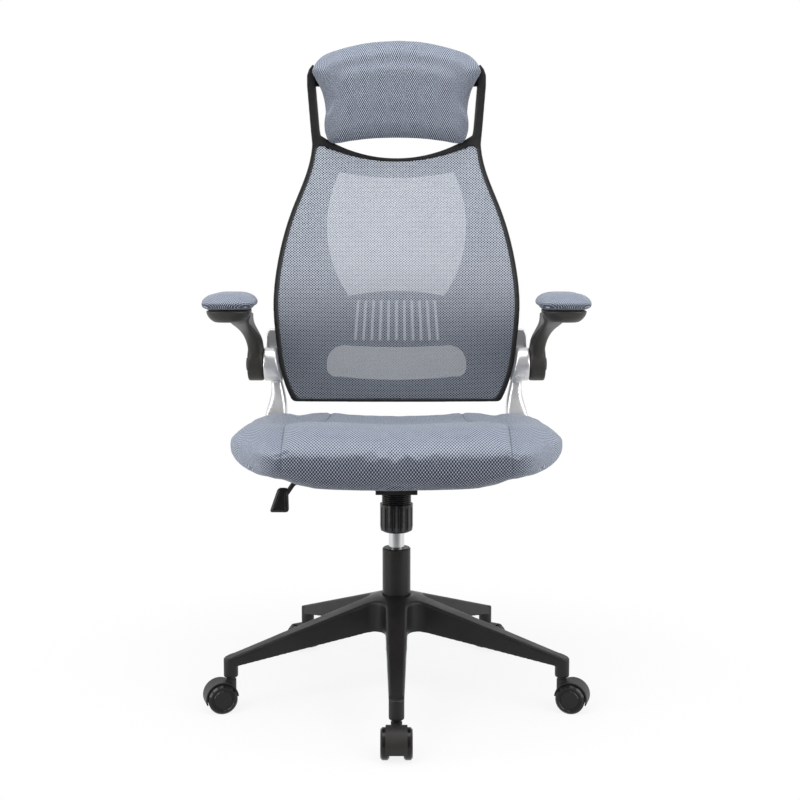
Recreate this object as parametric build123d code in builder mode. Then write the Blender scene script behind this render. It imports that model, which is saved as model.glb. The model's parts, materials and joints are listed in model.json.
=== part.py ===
from build123d import *
import math
import os

# A high-back mesh office chair with a headrest and flip-up arms. Sizes are in millimetres.
# The chair stands on Z = 0 with its column on the Z axis. Its front is -Y.

# Fits
RUN = 0.05                      # radial clearance of a shaft in its bore
GAP = 0.3                       # clearance between moving neighbours

# Castors, five alike, each trailing outwards from its leg
WHEEL_RADIUS = 25
WHEEL_WIDTH = 14
WHEEL_SPACE = 22                # between the two wheels of a castor
WHEEL_CAP = 2                   # closed outer face over the axle's end
WHEEL_EDGE = 3                  # rounding of the tread
RING_WIDTH = 4                  # groove inside the wheel's rim
RING_DEPTH = 1
CASTOR_TRAIL = 18               # stem axis to axle
AXLE_RADIUS = 3
AXLE_BOSS_RADIUS = 6.5
HOOD_CLEARANCE = 0.8            # wheel to hood
HOOD_WALL = 2.5
HOOD_WIDTH = 34
HOOD_START = -20                # degrees round the axle, from straight out
HOOD_SWEEP = 195
HOOD_WEB = 10
STEM_RADIUS = 5.5
STEM_BOSS_RADIUS = 9
STEM_SOCKET_DEPTH = 20          # stem inside the hood
STEM_REACH = 24                 # stem inside the leg
COLLAR_RADIUS = 8
COLLAR_HEIGHT = 4.5

# Five-star base
LEG_ANGLES = {"front": -90, "right": -18, "rear_right": 54, "rear_left": 126, "left": 198}
STEM_CIRCLE = 300
HUB_TOP = 180
HUB_HEIGHT = 62
HUB_RADIUS = 33
LEG_ROOT_WIDTH = 42
LEG_TIP_WIDTH = 24
LEG_TIP_TOP = 90
LEG_TIP_BOTTOM = 74
LEG_ROOT_BOTTOM = 123
LEG_WALL = 4
LEG_CHAMFER = 2.5
LEG_WEB_FILLET = 26             # round corner between two legs
RIB_THICKNESS = 3
RIB_SHARES = (0.3, 0.5, 0.7)    # places along the leg
CASTOR_BOSS_RADIUS = 12.5

# Gas lift
TUBE_RADIUS = 25
TUBE_WALL = 3.5
TUBE_TOP = 260
TUBE_TAPER = 1.5                # the radius that the tube loses inside the hub
TUBE_FLOOR = 5
SWAGE_RADIUS = 19
SWAGE_LENGTH = 42               # narrow end below the hub
BUSH_LENGTH = 72
BUSH_RIM = 4
ROD_RADIUS = 5
ROD_FLANGE_RADIUS = 10
ROD_FLANGE = 4
PISTON_HEIGHT = 12
PISTON_Z = 228
BEARING_RADIUS = 14
BEARING_HEIGHT = 6
CLIP_RADIUS = 11
CLIP_THICKNESS = 1.5
CYLINDER_RADIUS = 14
CYLINDER_WALL = 2
SEAT_SINK = 75                  # how far the seat goes down from the height shown
CYLINDER_PLUG = 10
CYLINDER_TAPER = 0.8
VALVE_RADIUS = 3
VALVE_LENGTH = 22

# Tilt mechanism
HOUSING_FLOOR = 383
HOUSING_SHEET = 3
HOUSING_WIDTH = 70
HOUSING_FRONT = -140
HOUSING_REAR = 53
HOUSING_FRONT_HEIGHT = 39
HOUSING_REAR_HEIGHT = 6
HOUSING_SLOPE_START = -112
SOCKET_RADIUS = 21
SOCKET_DROP = 38                # socket below the housing's floor
PIVOT_Y = -125
PIVOT_Z = 411
PIVOT_RADIUS = 5
PIVOT_HEAD_RADIUS = 7.5
PIVOT_HEAD = 4
KNOB_Y = -85
KNOB_RADIUS = 28.2
KNOB_WALL = 2.7
KNOB_BOTTOM = 311
KNOB_TOP = 359
KNOB_FLOOR = 5
KNOB_RIM = 5
KNOB_EDGE = 1
FLUTES = 14
FLUTE_RADIUS = 2.6
SLEEVE_BOTTOM = 335
SLEEVE_BORE = 20
THREAD_PITCH = 3.5
THREAD_DEPTH = 1.1
THREAD_FLANK = 0.35             # share of the pitch on each slope
DISC_RADIUS = 19.5
DISC_THICKNESS = 4
SPIGOT_RADIUS = 6
SPRING_RADIUS = 15              # to the middle of the wire
SPRING_WIRE = 2.2
SPRING_TURNS = 9

# Height lever
LEVER_Y = -40
LEVER_Z = 393
LEVER_RADIUS = 4.2
LEVER_PIVOT_X = -22
LEVER_KNEE_X = -50              # where the rod turns towards the front, outside the housing
LEVER_BEND_X = -95
LEVER_HUB_RADIUS = 6
LEVER_PIN_RADIUS = 3
LEVER_ELBOW_X = -178
LEVER_ELBOW_Z = 387
LEVER_BEND = 12
PADDLE_TOP = (-193, 378)        # X and Z of its middle at the top
PADDLE_BOTTOM = (-205, 335)
PADDLE_WIDTHS = (14, 35)
PADDLE_DEPTHS = (12, 17)

# Seat
BOARD_BOTTOM = 430
BOARD_THICKNESS = 12
BOARD_WIDTH = 390
BOARD_FRONT = -195
BOARD_REAR = 180
BOARD_CORNER = 70
PLATE_THICKNESS = 3
PLATE_WIDTH = 120
PLATE_FRONT = -150
PLATE_REAR = 66
EAR_GAP = 3.5
EAR_RADIUS = 12
BOLT_RADIUS = 3
BOLT_HEAD_RADIUS = 6
BOLT_HEAD = 4
BOLT_INSET = 12
SEAM_X = 185                    # seam between the centre panel and a bolster
SEAM_DEPTH = 2
SEAT_NOSE = -262
SEAT_REAR = 212
SEAT_CROWN = 71                 # heights above the board's underside, on the middle line
SEAT_DISH = 34
SEAT_TAIL = 47
SEAT_DROP = -23                 # lower edge of the front roll
# Side outlines of the cushion away from the middle line: X, then how far the nose and the rear draw in,
# then how far the crown, the dish, the tail, the underside and the front's lower edge rise.
SEAT_SEAM = (SEAM_X, 24 + SEAM_DEPTH, 8 + SEAM_DEPTH, -2 - SEAM_DEPTH, 14 - SEAM_DEPTH, 6 - SEAM_DEPTH,
             0, 8 + SEAM_DEPTH)
SEAT_CENTRE = (SEAT_SEAM, (SEAM_X - 14, 19, 6, 0, 13, 6, 0, 6), (0, 0, 0, 0, 0, 0, 0, 0))
SEAT_BOLSTER = (SEAT_SEAM, (SEAM_X + 22, 36, 26, -2, 26, 9, 1, 11), (SEAM_X + 55, 63, 90, -5, 29, 11, 6, 18),
                (SEAM_X + 80, 98, 170, -14, 22, 5, 15, 30), (SEAM_X + 93, 142, 242, -27, 10, -5, 27, 45))
NOSE_HEIGHT = 0.46              # shares of the front roll's height and of the outline's length
NOSE_SHOULDER = (0.08, 0.76)
NOSE_UNDER = (0.02, 0.25)
CROWN_PLACE = 0.24
DISH_PLACE = 0.62
ROLL_FRONT = 0.09
ROLL_REAR = 0.17
TAIL_ROUND = 10

# Side brackets, arms and pads
BRACKET_INNER = 213.5
BRACKET_OUTER = 243
BOSS_OUTER = 253.5
BOSS_RADIUS = 32
ARM_PIVOT_Y = 205
ARM_PIVOT_Z = 576
ARM_PIVOT_RADIUS = 6
ARM_THICKNESS = 30
FOOT_THICKNESS = 10
FOOT_INNER = 150
FOOT_FRONT = 85
FOOT_LENGTH = 60
UPRIGHT_REAR = 232
UPRIGHT_FOOT_WIDTH = 36
# Layers of the bracket's upright: height above the board's underside, inner X, outer X, front Y, rear Y
UPRIGHT_LAYERS = ((-10, 206, 250, 176, 214), (20, 213, 253, 191, 226), (68, 212, 247, 196, 232),
                  (95, 217, 241, 203, 236), (122, 223, 243, 206, 238), (146, 222, 246, 210, 240))
UPRIGHT_ROUND = 6
TAB_INNER = 206
TAB_FRONT = 238
TAB_REAR = 256
TAB_TOP = 642
TAB_BOTTOM = 596
PAD_CENTRE_X = 293
PAD_TOE = 4.5                   # degrees that the pad's front turns in
PAD_WIDTH = 90
PAD_FRONT = -105
PAD_REAR = 160
PAD_RISE = 111                  # underside of the pad above the arm's pivot
PAD_HEIGHT = 29
TRAY_DEPTH = 21
TRAY_INSET = 7                  # tray inside the pad's outline
TRAY_LAYERS = ((1, 0), (0.93, 0.4), (0.58, 1))    # share of the width, share of the depth
# Layers of the arm's neck: share of the pad's rise, ahead of the pivot, X from the arm's middle, width, depth
NECK_LAYERS = ((0, 0, 0, 30, 58), (0.31, 10, 0, 28, 54), (0.52, 32, 3, 32, 62), (0.72, 76, 10, 44, 92),
               (0.9, 105, 14, 56, 130))
NECK_ROUND = 0.42
PAD_LAYERS = ((0, 5), (0.25, 0), (0.55, 2), (0.85, 12), (1, 26))    # share of the height, inset
PAD_ROUND = 0.45                # corner radius as a share of the width

# Back
BACK_ARC = 1000                 # plan radius of the back, hollow to the front
BACK_LOW = (240, 470)           # Y and Z along the middle of the back's front face
BACK_LUMBAR = (230, 610)
BACK_NECK = (306, 990)
BACK_HEAD = (322, 1185)
LUMBAR_BEND = 700
NECK_BEND = 900
BACK_HALF_SPAN = 255
FRAME_DEPTH = 22
RIM = 9.5
LOWER_RIM = 6
BACK_BOTTOM = 502
BACK_BOTTOM_SAG = 3
BACK_CORNER = 12
BACK_BOTTOM_HALF = 201
BACK_SIDE = ((220, 552), (232.5, 630), (236.6, 685), (228.5, 775), (203, 872), (174, 950))
CROSSBAR_HALF = 166
CROSSBAR_END = 1030
CROSSBAR_DIP = 974
CROSSBAR_HEIGHT = 7             # in the middle
CROSSBAR_ROOT = 27              # at its ends
MESH_SETBACK = 1
MESH_THICKNESS = 2
PANEL_SETBACK = 10
PANEL_THICKNESS = 3
WINDOW_TOP = (112, 947)         # X and Z of the window's corners and of the middles of its edges
WINDOW_DIP = 936
WINDOW_SIDE = (136, 850)
WINDOW_FOOT = (93, 705)
WINDOW_SILL = 715
SLITS = 11
SLIT_PITCH = 15.5
SLIT_Z = 658
SLIT_LENGTH = 78
SLIT_WIDTH = 5.5
SLIT_FAN = 0.9                  # degrees of lean from one slit to the next
# The lower opening: X and height above the back's lower edge, down its right-hand side, and its middle line
HATCH_SIDE = ((102, 108), (130, 92), (135, 70), (132, 54), (112, 47))
HATCH_DIP = 104
HATCH_SAG = 40
LUG_INNER = 196
UPRIGHT_WIDTH = 17
UPRIGHT_FOOT = (144, 164, 990)  # inner X, outer X and Z where a head upright grows out of the rim
UPRIGHT_SPREAD = 2
HEAD_HALF_WIDTH = 175
HEAD_CORNER = 16
HEAD_BOARD_HALF = 118
HEAD_PAD_HALF = 164
HEAD_PAD_BOTTOM = 1001
HEAD_PAD_HEIGHT = 196
HEAD_PAD_ARCH = 11              # hollow of its lower edge
# X and share of the height, down the pad's right-hand edge
HEAD_PAD_SIDE = ((124, 0.9), (151, 0.82), (HEAD_PAD_HALF, 0.7), (147, 0.53), (138, 0.301), (140, 0.148),
                 (134, 0.046), (129, 0.01), (118, 0))
UPRIGHT_SHARE = 0.76            # shares of the pad's height that the uprights and the board reach
BOARD_SHARES = (0.148, 0.577)
HEAD_PAD_LAYERS = ((-4, 9), (6, 1), (20, 0), (36, 8), (46, 28), (51, 60))    # depth ahead, inset

# What follows from the sizes above
HUB_BOTTOM = HUB_TOP - HUB_HEIGHT
HOOD_INNER = WHEEL_RADIUS + HOOD_CLEARANCE
HOOD_OUTER = HOOD_INNER + HOOD_WALL
HOOD_TOP = WHEEL_RADIUS + HOOD_OUTER
CASTOR_BOSS_BOTTOM = HOOD_TOP + COLLAR_HEIGHT + GAP
TUBE_BOTTOM = HUB_BOTTOM - SWAGE_LENGTH
TUBE_BORE = TUBE_RADIUS - TUBE_WALL
ROD_SEAT = TUBE_BOTTOM + TUBE_FLOOR + GAP
CYLINDER_BORE = CYLINDER_RADIUS - CYLINDER_WALL
CYLINDER_BOTTOM = ROD_SEAT + BEARING_HEIGHT + ROD_FLANGE + SEAT_SINK + GAP
HOUSING_TOP = HOUSING_FLOOR + HOUSING_SHEET
SOCKET_BOTTOM = HOUSING_FLOOR - SOCKET_DROP
VALVE_TOP = LEVER_Z - LEVER_RADIUS - GAP
CYLINDER_TOP = HOUSING_FLOOR
KNOB_BORE = KNOB_RADIUS - KNOB_WALL
SLEEVE_RADIUS = KNOB_BORE - GAP
DISC_BOTTOM = KNOB_BOTTOM + KNOB_FLOOR + GAP
DISC_TOP = DISC_BOTTOM + DISC_THICKNESS
PLATE_BOTTOM = BOARD_BOTTOM - PLATE_THICKNESS
BOARD_TOP = BOARD_BOTTOM + BOARD_THICKNESS
PAD_BOTTOM = ARM_PIVOT_Z + PAD_RISE
ARM_INNER = BOSS_OUTER + GAP
ARM_OUTER = ARM_INNER + ARM_THICKNESS
HEAD_PAD_TOP = HEAD_PAD_BOTTOM + HEAD_PAD_HEIGHT
HEAD_TOP = HEAD_PAD_BOTTOM + HEAD_PAD_HEIGHT * UPRIGHT_SHARE
HEAD_BOARD_BOTTOM = HEAD_PAD_BOTTOM + HEAD_PAD_HEIGHT * BOARD_SHARES[0]
HEAD_BOARD_TIE = HEAD_PAD_BOTTOM + HEAD_PAD_HEIGHT * BOARD_SHARES[1]
SIDES = {"left": -1, "right": 1}


def save(piece, label):
    """Name a finished piece and write it out."""
    piece.label = label
    export_step(piece, f"parts/{label}.step")


def turned(points, centre=(0, 0)):
    """A solid of revolution about the vertical through centre, from its radius and height points."""
    x, y = centre
    with BuildPart() as piece:
        with BuildSketch(Plane((x, y, 0), x_dir=(1, 0, 0), z_dir=(0, -1, 0))):
            with BuildLine():
                Polyline(*points, close=True)
            make_face()
        revolve(axis=Axis((x, y, 0), (0, 0, 1)))
    return piece.part


def on_leg(piece, angle):
    """A piece made round the stem axis, set at its place on the leg at this angle."""
    with BuildPart() as placed:
        with PolarLocations(STEM_CIRCLE, 1, start_angle=angle):
            add(piece)
    return placed.part


def mirrored(piece):
    """The left-hand copy of a right-hand piece."""
    with BuildPart() as copy:
        mirror(piece, about=Plane.YZ)
    return copy.part


def castor_hood():
    """Hood with its middle web, axle boss and stem socket."""
    axle = (CASTOR_TRAIL, WHEEL_RADIUS)
    with BuildPart() as hood:
        with BuildSketch(Plane.XZ):
            with BuildLine():
                outer = CenterArc(axle, HOOD_OUTER, HOOD_START, HOOD_SWEEP)
                inner = CenterArc(axle, HOOD_INNER, HOOD_START, HOOD_SWEEP)
                Line(outer @ 0, inner @ 0)
                Line(outer @ 1, inner @ 1)
            make_face()
        extrude(amount=HOOD_WIDTH / 2, both=True)
        with BuildSketch(Plane.XZ):
            with BuildLine():
                half = CenterArc(axle, HOOD_INNER + HOOD_WALL / 2, 0, 180)
                Line(half @ 0, half @ 1)
            make_face()
        extrude(amount=HOOD_WEB / 2, both=True)
        with BuildSketch(Plane.XZ):
            with Locations(axle):
                Circle(AXLE_BOSS_RADIUS)
        extrude(amount=WHEEL_SPACE / 2 - GAP, both=True)
        with BuildSketch(Plane.XY.offset(HOOD_TOP)):
            Circle(STEM_BOSS_RADIUS)
        extrude(amount=-(STEM_SOCKET_DEPTH + HOOD_WALL))
        with BuildSketch(Plane.XY.offset(HOOD_TOP)):
            Circle(STEM_RADIUS)
        extrude(amount=-STEM_SOCKET_DEPTH, mode=Mode.SUBTRACT)
        with BuildSketch(Plane.XZ):
            with Locations(axle):
                Circle(AXLE_RADIUS)
        extrude(amount=WHEEL_SPACE, both=True, mode=Mode.SUBTRACT)
    return hood.part


def castor_stem():
    """Steel stem with the collar that carries the leg."""
    bottom = HOOD_TOP - STEM_SOCKET_DEPTH
    collar_top = HOOD_TOP + COLLAR_HEIGHT
    top = CASTOR_BOSS_BOTTOM + STEM_REACH - GAP
    return turned([(0, bottom), (STEM_RADIUS, bottom), (STEM_RADIUS, HOOD_TOP), (COLLAR_RADIUS, HOOD_TOP),
                   (COLLAR_RADIUS, collar_top), (STEM_RADIUS, collar_top), (STEM_RADIUS, top), (0, top)])


def castor_axle():
    """Steel axle through the hood, its ends inside the wheels."""
    with BuildPart() as axle:
        with BuildSketch(Plane.XZ):
            with Locations((CASTOR_TRAIL, WHEEL_RADIUS)):
                Circle(AXLE_RADIUS)
        extrude(amount=WHEEL_SPACE / 2 + WHEEL_WIDTH - WHEEL_CAP - GAP, both=True)
    return axle.part


def castor_wheel(side):
    """One wheel, closed on its outer face, with a moulded ring near its rim."""
    inner = WHEEL_SPACE / 2
    outer = inner + WHEEL_WIDTH
    bore = AXLE_RADIUS + RUN
    ring = WHEEL_RADIUS - 2 * WHEEL_EDGE
    profile = [(bore, inner), (WHEEL_RADIUS - WHEEL_EDGE, inner), (WHEEL_RADIUS, inner + WHEEL_EDGE),
               (WHEEL_RADIUS, outer - WHEEL_EDGE), (WHEEL_RADIUS - WHEEL_EDGE, outer), (ring, outer),
               (ring - RING_DEPTH, outer - RING_DEPTH), (ring - RING_WIDTH + RING_DEPTH, outer - RING_DEPTH),
               (ring - RING_WIDTH, outer), (0, outer), (0, outer - WHEEL_CAP), (bore, outer - WHEEL_CAP)]
    with BuildPart() as wheel:
        with BuildSketch(Plane.XY.offset(WHEEL_RADIUS)):
            with BuildLine():
                Polyline(*[(CASTOR_TRAIL + r, side * y) for r, y in profile], close=True)
            make_face()
        revolve(axis=Axis((CASTOR_TRAIL, 0, WHEEL_RADIUS), (0, 1, 0)))
    return wheel.part


def star(inset):
    """Plan of the base: five tapering legs with round corners between them."""
    with BuildSketch() as plan:
        with PolarLocations(0, len(LEG_ANGLES), start_angle=LEG_ANGLES["front"]):
            Polygon((0, -LEG_ROOT_WIDTH / 2 + inset), (STEM_CIRCLE, -LEG_TIP_WIDTH / 2 + inset),
                    (STEM_CIRCLE, LEG_TIP_WIDTH / 2 - inset), (0, LEG_ROOT_WIDTH / 2 - inset), align=None)
        with PolarLocations(STEM_CIRCLE, len(LEG_ANGLES), start_angle=LEG_ANGLES["front"]):
            Circle(CASTOR_BOSS_RADIUS - inset)
        corners = plan.vertices().sort_by_distance((0, 0, 0))[: len(LEG_ANGLES)]
        fillet(corners, LEG_WEB_FILLET + inset)
    return plan.sketch


def star_solid(inset, drop):
    """The legs between their sloping top and underside, drawn in by a wall and dropped by it."""
    tip = STEM_CIRCLE + CASTOR_BOSS_RADIUS
    with BuildPart() as legs:
        add(star(inset))
        extrude(amount=HUB_TOP)
        with BuildSketch(Plane.XZ):
            with BuildLine():
                Polyline((0, LEG_ROOT_BOTTOM - drop), (HUB_RADIUS, LEG_ROOT_BOTTOM - drop),
                         (tip, LEG_TIP_BOTTOM - drop), (tip, LEG_TIP_TOP - drop),
                         (HUB_RADIUS, HUB_TOP - drop), (0, HUB_TOP - drop), close=True)
            make_face()
        revolve(axis=Axis.Z, mode=Mode.INTERSECT)
    return legs.part


def base():
    """Hollow five-star base with hub, castor bosses and cross ribs."""
    hollow = star_solid(LEG_WALL, LEG_WALL)
    middle_height = (LEG_ROOT_BOTTOM + LEG_TIP_TOP) / 2
    with BuildPart() as body:
        add(star_solid(0, 0))
        long_edges = body.edges().filter_by(lambda e: e.length > STEM_CIRCLE / 2)
        chamfer(long_edges.filter_by(lambda e: e.center().Z > middle_height), LEG_CHAMFER)
        add(hollow, mode=Mode.SUBTRACT)
        with BuildSketch(Plane.XY.offset(HUB_BOTTOM)):
            Circle(HUB_RADIUS)
        extrude(amount=HUB_HEIGHT)
        with BuildSketch(Plane.XY.offset(CASTOR_BOSS_BOTTOM)):
            with PolarLocations(STEM_CIRCLE, len(LEG_ANGLES), start_angle=LEG_ANGLES["front"]):
                Circle(CASTOR_BOSS_RADIUS)
        extrude(amount=LEG_TIP_TOP - LEG_WALL - CASTOR_BOSS_BOTTOM)
        for share in RIB_SHARES:
            radius = STEM_CIRCLE * share
            low = LEG_ROOT_BOTTOM + (LEG_TIP_BOTTOM - LEG_ROOT_BOTTOM) * share
            high = HUB_TOP + (LEG_TIP_TOP - HUB_TOP) * share - LEG_WALL
            width = LEG_ROOT_WIDTH + (LEG_TIP_WIDTH - LEG_ROOT_WIDTH) * share - LEG_WALL
            with BuildSketch(Plane.XY.offset(low + LEG_WALL)):
                with PolarLocations(radius, len(LEG_ANGLES), start_angle=LEG_ANGLES["front"]):
                    Rectangle(RIB_THICKNESS, width)
            extrude(amount=high - low - LEG_WALL)
        with BuildSketch(Plane.XY.offset(CASTOR_BOSS_BOTTOM)):
            with PolarLocations(STEM_CIRCLE, len(LEG_ANGLES), start_angle=LEG_ANGLES["front"]):
                Circle(STEM_RADIUS + RUN)
        extrude(amount=STEM_REACH, mode=Mode.SUBTRACT)
        with BuildSketch(Plane.XZ):
            with BuildLine():
                Polyline((0, HUB_BOTTOM), (TUBE_RADIUS - TUBE_TAPER, HUB_BOTTOM), (TUBE_RADIUS, HUB_TOP),
                         (0, HUB_TOP), close=True)
            make_face()
        revolve(axis=Axis.Z, mode=Mode.SUBTRACT)
    return body.part


def gas_lift():
    """The gas lift's turned pieces by name."""
    swage_bore = SWAGE_RADIUS - TUBE_WALL
    rod_hole = ROD_RADIUS + RUN
    tube = turned([(rod_hole, TUBE_BOTTOM), (SWAGE_RADIUS, TUBE_BOTTOM), (SWAGE_RADIUS, HUB_BOTTOM - TUBE_WALL),
                   (TUBE_RADIUS - TUBE_TAPER, HUB_BOTTOM), (TUBE_RADIUS, HUB_TOP), (TUBE_RADIUS, TUBE_TOP),
                   (TUBE_BORE, TUBE_TOP), (TUBE_BORE, HUB_BOTTOM + TUBE_WALL),
                   (swage_bore, HUB_BOTTOM - TUBE_WALL), (swage_bore, TUBE_BOTTOM + TUBE_FLOOR),
                   (rod_hole, TUBE_BOTTOM + TUBE_FLOOR)])
    slide = CYLINDER_RADIUS + RUN
    bush_bottom = TUBE_TOP - BUSH_LENGTH
    bush = turned([(slide, bush_bottom), (TUBE_BORE, bush_bottom), (TUBE_BORE, TUBE_TOP),
                   (TUBE_RADIUS, TUBE_TOP), (TUBE_RADIUS, TUBE_TOP + BUSH_RIM / 2),
                   (TUBE_RADIUS - BUSH_RIM / 2, TUBE_TOP + BUSH_RIM), (slide, TUBE_TOP + BUSH_RIM)])
    clip_top = TUBE_BOTTOM - GAP
    clip_bottom = clip_top - CLIP_THICKNESS
    flange = ROD_SEAT + BEARING_HEIGHT
    piston_radius = CYLINDER_BORE - RUN
    rod = turned([(0, clip_bottom), (ROD_RADIUS, clip_bottom), (ROD_RADIUS, flange), (ROD_FLANGE_RADIUS, flange),
                  (ROD_FLANGE_RADIUS, flange + ROD_FLANGE), (ROD_RADIUS, flange + ROD_FLANGE),
                  (ROD_RADIUS, PISTON_Z), (piston_radius, PISTON_Z), (piston_radius, PISTON_Z + PISTON_HEIGHT),
                  (0, PISTON_Z + PISTON_HEIGHT)])
    bearing = turned([(ROD_RADIUS, ROD_SEAT), (BEARING_RADIUS, ROD_SEAT), (BEARING_RADIUS, flange),
                      (ROD_RADIUS, flange)])
    clip = turned([(ROD_RADIUS, clip_bottom), (CLIP_RADIUS, clip_bottom), (CLIP_RADIUS, clip_top),
                   (ROD_RADIUS, clip_top)])
    ceiling = CYLINDER_TOP - CYLINDER_PLUG
    floor = CYLINDER_BOTTOM + CYLINDER_PLUG
    valve_hole = VALVE_RADIUS + RUN
    cylinder = turned([(rod_hole, CYLINDER_BOTTOM), (CYLINDER_RADIUS, CYLINDER_BOTTOM),
                       (CYLINDER_RADIUS, SOCKET_BOTTOM), (CYLINDER_RADIUS - CYLINDER_TAPER, CYLINDER_TOP),
                       (valve_hole, CYLINDER_TOP), (valve_hole, ceiling), (CYLINDER_BORE, ceiling),
                       (CYLINDER_BORE, floor), (rod_hole, floor)])
    valve = turned([(0, VALVE_TOP - VALVE_LENGTH), (VALVE_RADIUS, VALVE_TOP - VALVE_LENGTH),
                    (VALVE_RADIUS, VALVE_TOP), (0, VALVE_TOP)])
    return {"gas_lift_tube": tube, "guide_bush": bush, "piston_rod": rod, "thrust_bearing": bearing,
            "retaining_clip": clip, "gas_lift_cylinder": cylinder, "valve_pin": valve}


def lever_rod():
    """Bent height lever: short inner arm over the valve, pivot hub, outer arm and its dropped end."""
    bottom_x = PADDLE_TOP[0] + (PADDLE_BOTTOM[0] - PADDLE_TOP[0]) / 2
    bottom_z = PADDLE_TOP[1] + (PADDLE_BOTTOM[1] - PADDLE_TOP[1]) / 2
    with BuildPart() as rod:
        with BuildLine() as route:
            FilletPolyline((2 * LEVER_RADIUS, 0, LEVER_Z), (LEVER_KNEE_X, 0, LEVER_Z),
                           (LEVER_BEND_X, LEVER_Y, LEVER_Z), (LEVER_ELBOW_X, LEVER_Y, LEVER_ELBOW_Z),
                           (bottom_x, LEVER_Y, bottom_z), radius=LEVER_BEND)
        with BuildSketch(Plane(route.line @ 0, z_dir=route.line % 0)):
            Circle(LEVER_RADIUS)
        sweep()
        with BuildSketch(Plane.XZ):
            with Locations((LEVER_PIVOT_X, LEVER_Z)):
                Circle(LEVER_HUB_RADIUS)
        extrude(amount=LEVER_HUB_RADIUS, both=True)
        with BuildSketch(Plane.XZ):
            with Locations((LEVER_PIVOT_X, LEVER_Z)):
                Circle(LEVER_PIN_RADIUS + RUN)
        extrude(amount=3 * LEVER_HUB_RADIUS, both=True, mode=Mode.SUBTRACT)
    return rod.part


def lever_paddle(rod):
    """Flared plastic grip pushed over the rod's end."""
    with BuildPart() as paddle:
        for share in (0, 1):
            x = PADDLE_TOP[0] + (PADDLE_BOTTOM[0] - PADDLE_TOP[0]) * share
            z = PADDLE_TOP[1] + (PADDLE_BOTTOM[1] - PADDLE_TOP[1]) * share
            width = PADDLE_WIDTHS[0] + (PADDLE_WIDTHS[1] - PADDLE_WIDTHS[0]) * share
            depth = PADDLE_DEPTHS[0] + (PADDLE_DEPTHS[1] - PADDLE_DEPTHS[0]) * share
            with BuildSketch(Plane((x, LEVER_Y, z))):
                RectangleRounded(width, depth, depth / 3)
        loft()
        add(rod, mode=Mode.SUBTRACT)
    return paddle.part


def tilt_housing():
    """Stamped pan with the gas lift's socket, the tilt pivot's holes and the lever's lugs."""
    half = HOUSING_WIDTH / 2
    middle = (HOUSING_FRONT + HOUSING_REAR) / 2
    length = HOUSING_REAR - HOUSING_FRONT
    rear_top = HOUSING_FLOOR + HOUSING_REAR_HEIGHT
    front_top = HOUSING_FLOOR + HOUSING_FRONT_HEIGHT
    with BuildPart() as housing:
        with BuildSketch(Plane.YZ):
            with BuildLine():
                Polyline((HOUSING_FRONT, HOUSING_FLOOR), (HOUSING_REAR, HOUSING_FLOOR), (HOUSING_REAR, rear_top),
                         (HOUSING_SLOPE_START, front_top), (HOUSING_FRONT, front_top), close=True)
            make_face()
        extrude(amount=half, both=True)
        fillet(housing.edges().filter_by(Axis.Z), HOUSING_SHEET)
        with BuildSketch(Plane.XY.offset(HOUSING_TOP)):
            with Locations((0, middle)):
                Rectangle(HOUSING_WIDTH - 2 * HOUSING_SHEET, length - 2 * HOUSING_SHEET)
        extrude(amount=HOUSING_FRONT_HEIGHT, mode=Mode.SUBTRACT)
        with BuildSketch(Plane.XY.offset(SOCKET_BOTTOM)):
            Circle(SOCKET_RADIUS)
        extrude(amount=HOUSING_TOP - SOCKET_BOTTOM)
        with BuildSketch(Plane.XZ):
            with BuildLine():
                Polyline((0, SOCKET_BOTTOM), (CYLINDER_RADIUS, SOCKET_BOTTOM),
                         (CYLINDER_RADIUS - CYLINDER_TAPER, CYLINDER_TOP),
                         (CYLINDER_RADIUS - CYLINDER_TAPER, HOUSING_TOP), (0, HOUSING_TOP), close=True)
            make_face()
        revolve(axis=Axis.Z, mode=Mode.SUBTRACT)
        with BuildSketch(Plane.XY.offset(HOUSING_FLOOR)):
            with Locations((0, KNOB_Y)):
                Circle(SLEEVE_BORE)
        extrude(amount=HOUSING_SHEET, mode=Mode.SUBTRACT)
        with BuildSketch(Plane.YZ):
            with Locations((PIVOT_Y, PIVOT_Z)):
                Circle(PIVOT_RADIUS)
        extrude(amount=half, both=True, mode=Mode.SUBTRACT)
        lug_gap = LEVER_HUB_RADIUS + GAP
        for side in (-1, 1):
            with BuildSketch(Plane.XY.offset(HOUSING_TOP)):
                with Locations((LEVER_PIVOT_X, side * (lug_gap + HOUSING_SHEET / 2))):
                    Rectangle(2 * LEVER_HUB_RADIUS, HOUSING_SHEET)
            extrude(amount=LEVER_Z - HOUSING_TOP + LEVER_PIN_RADIUS + HOUSING_SHEET / 2)
        with BuildSketch(Plane.XZ):
            with Locations((LEVER_PIVOT_X, LEVER_Z)):
                Circle(LEVER_PIN_RADIUS)
        extrude(amount=lug_gap + HOUSING_SHEET, both=True)
        with BuildSketch(Plane.YZ.offset(-half - GAP)):
            with Locations((0, HOUSING_TOP)):
                Rectangle(4 * LEVER_RADIUS, HOUSING_FRONT_HEIGHT, align=(Align.CENTER, Align.MIN))
        extrude(amount=HOUSING_SHEET + GAP, mode=Mode.SUBTRACT)
    return housing.part


def tilt_pivot_pin():
    """Headed pin through the housing and the seat plate's ears."""
    reach = HOUSING_WIDTH / 2 + EAR_GAP + PLATE_THICKNESS + GAP
    with BuildPart() as pin:
        with BuildSketch(Plane.YZ):
            with Locations((PIVOT_Y, PIVOT_Z)):
                Circle(PIVOT_RADIUS)
        extrude(amount=reach, both=True)
        for side in (-1, 1):
            with BuildSketch(Plane.YZ.offset(side * reach)):
                with Locations((PIVOT_Y, PIVOT_Z)):
                    Circle(PIVOT_HEAD_RADIUS)
            extrude(amount=side * PIVOT_HEAD)
    return pin.part


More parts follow.
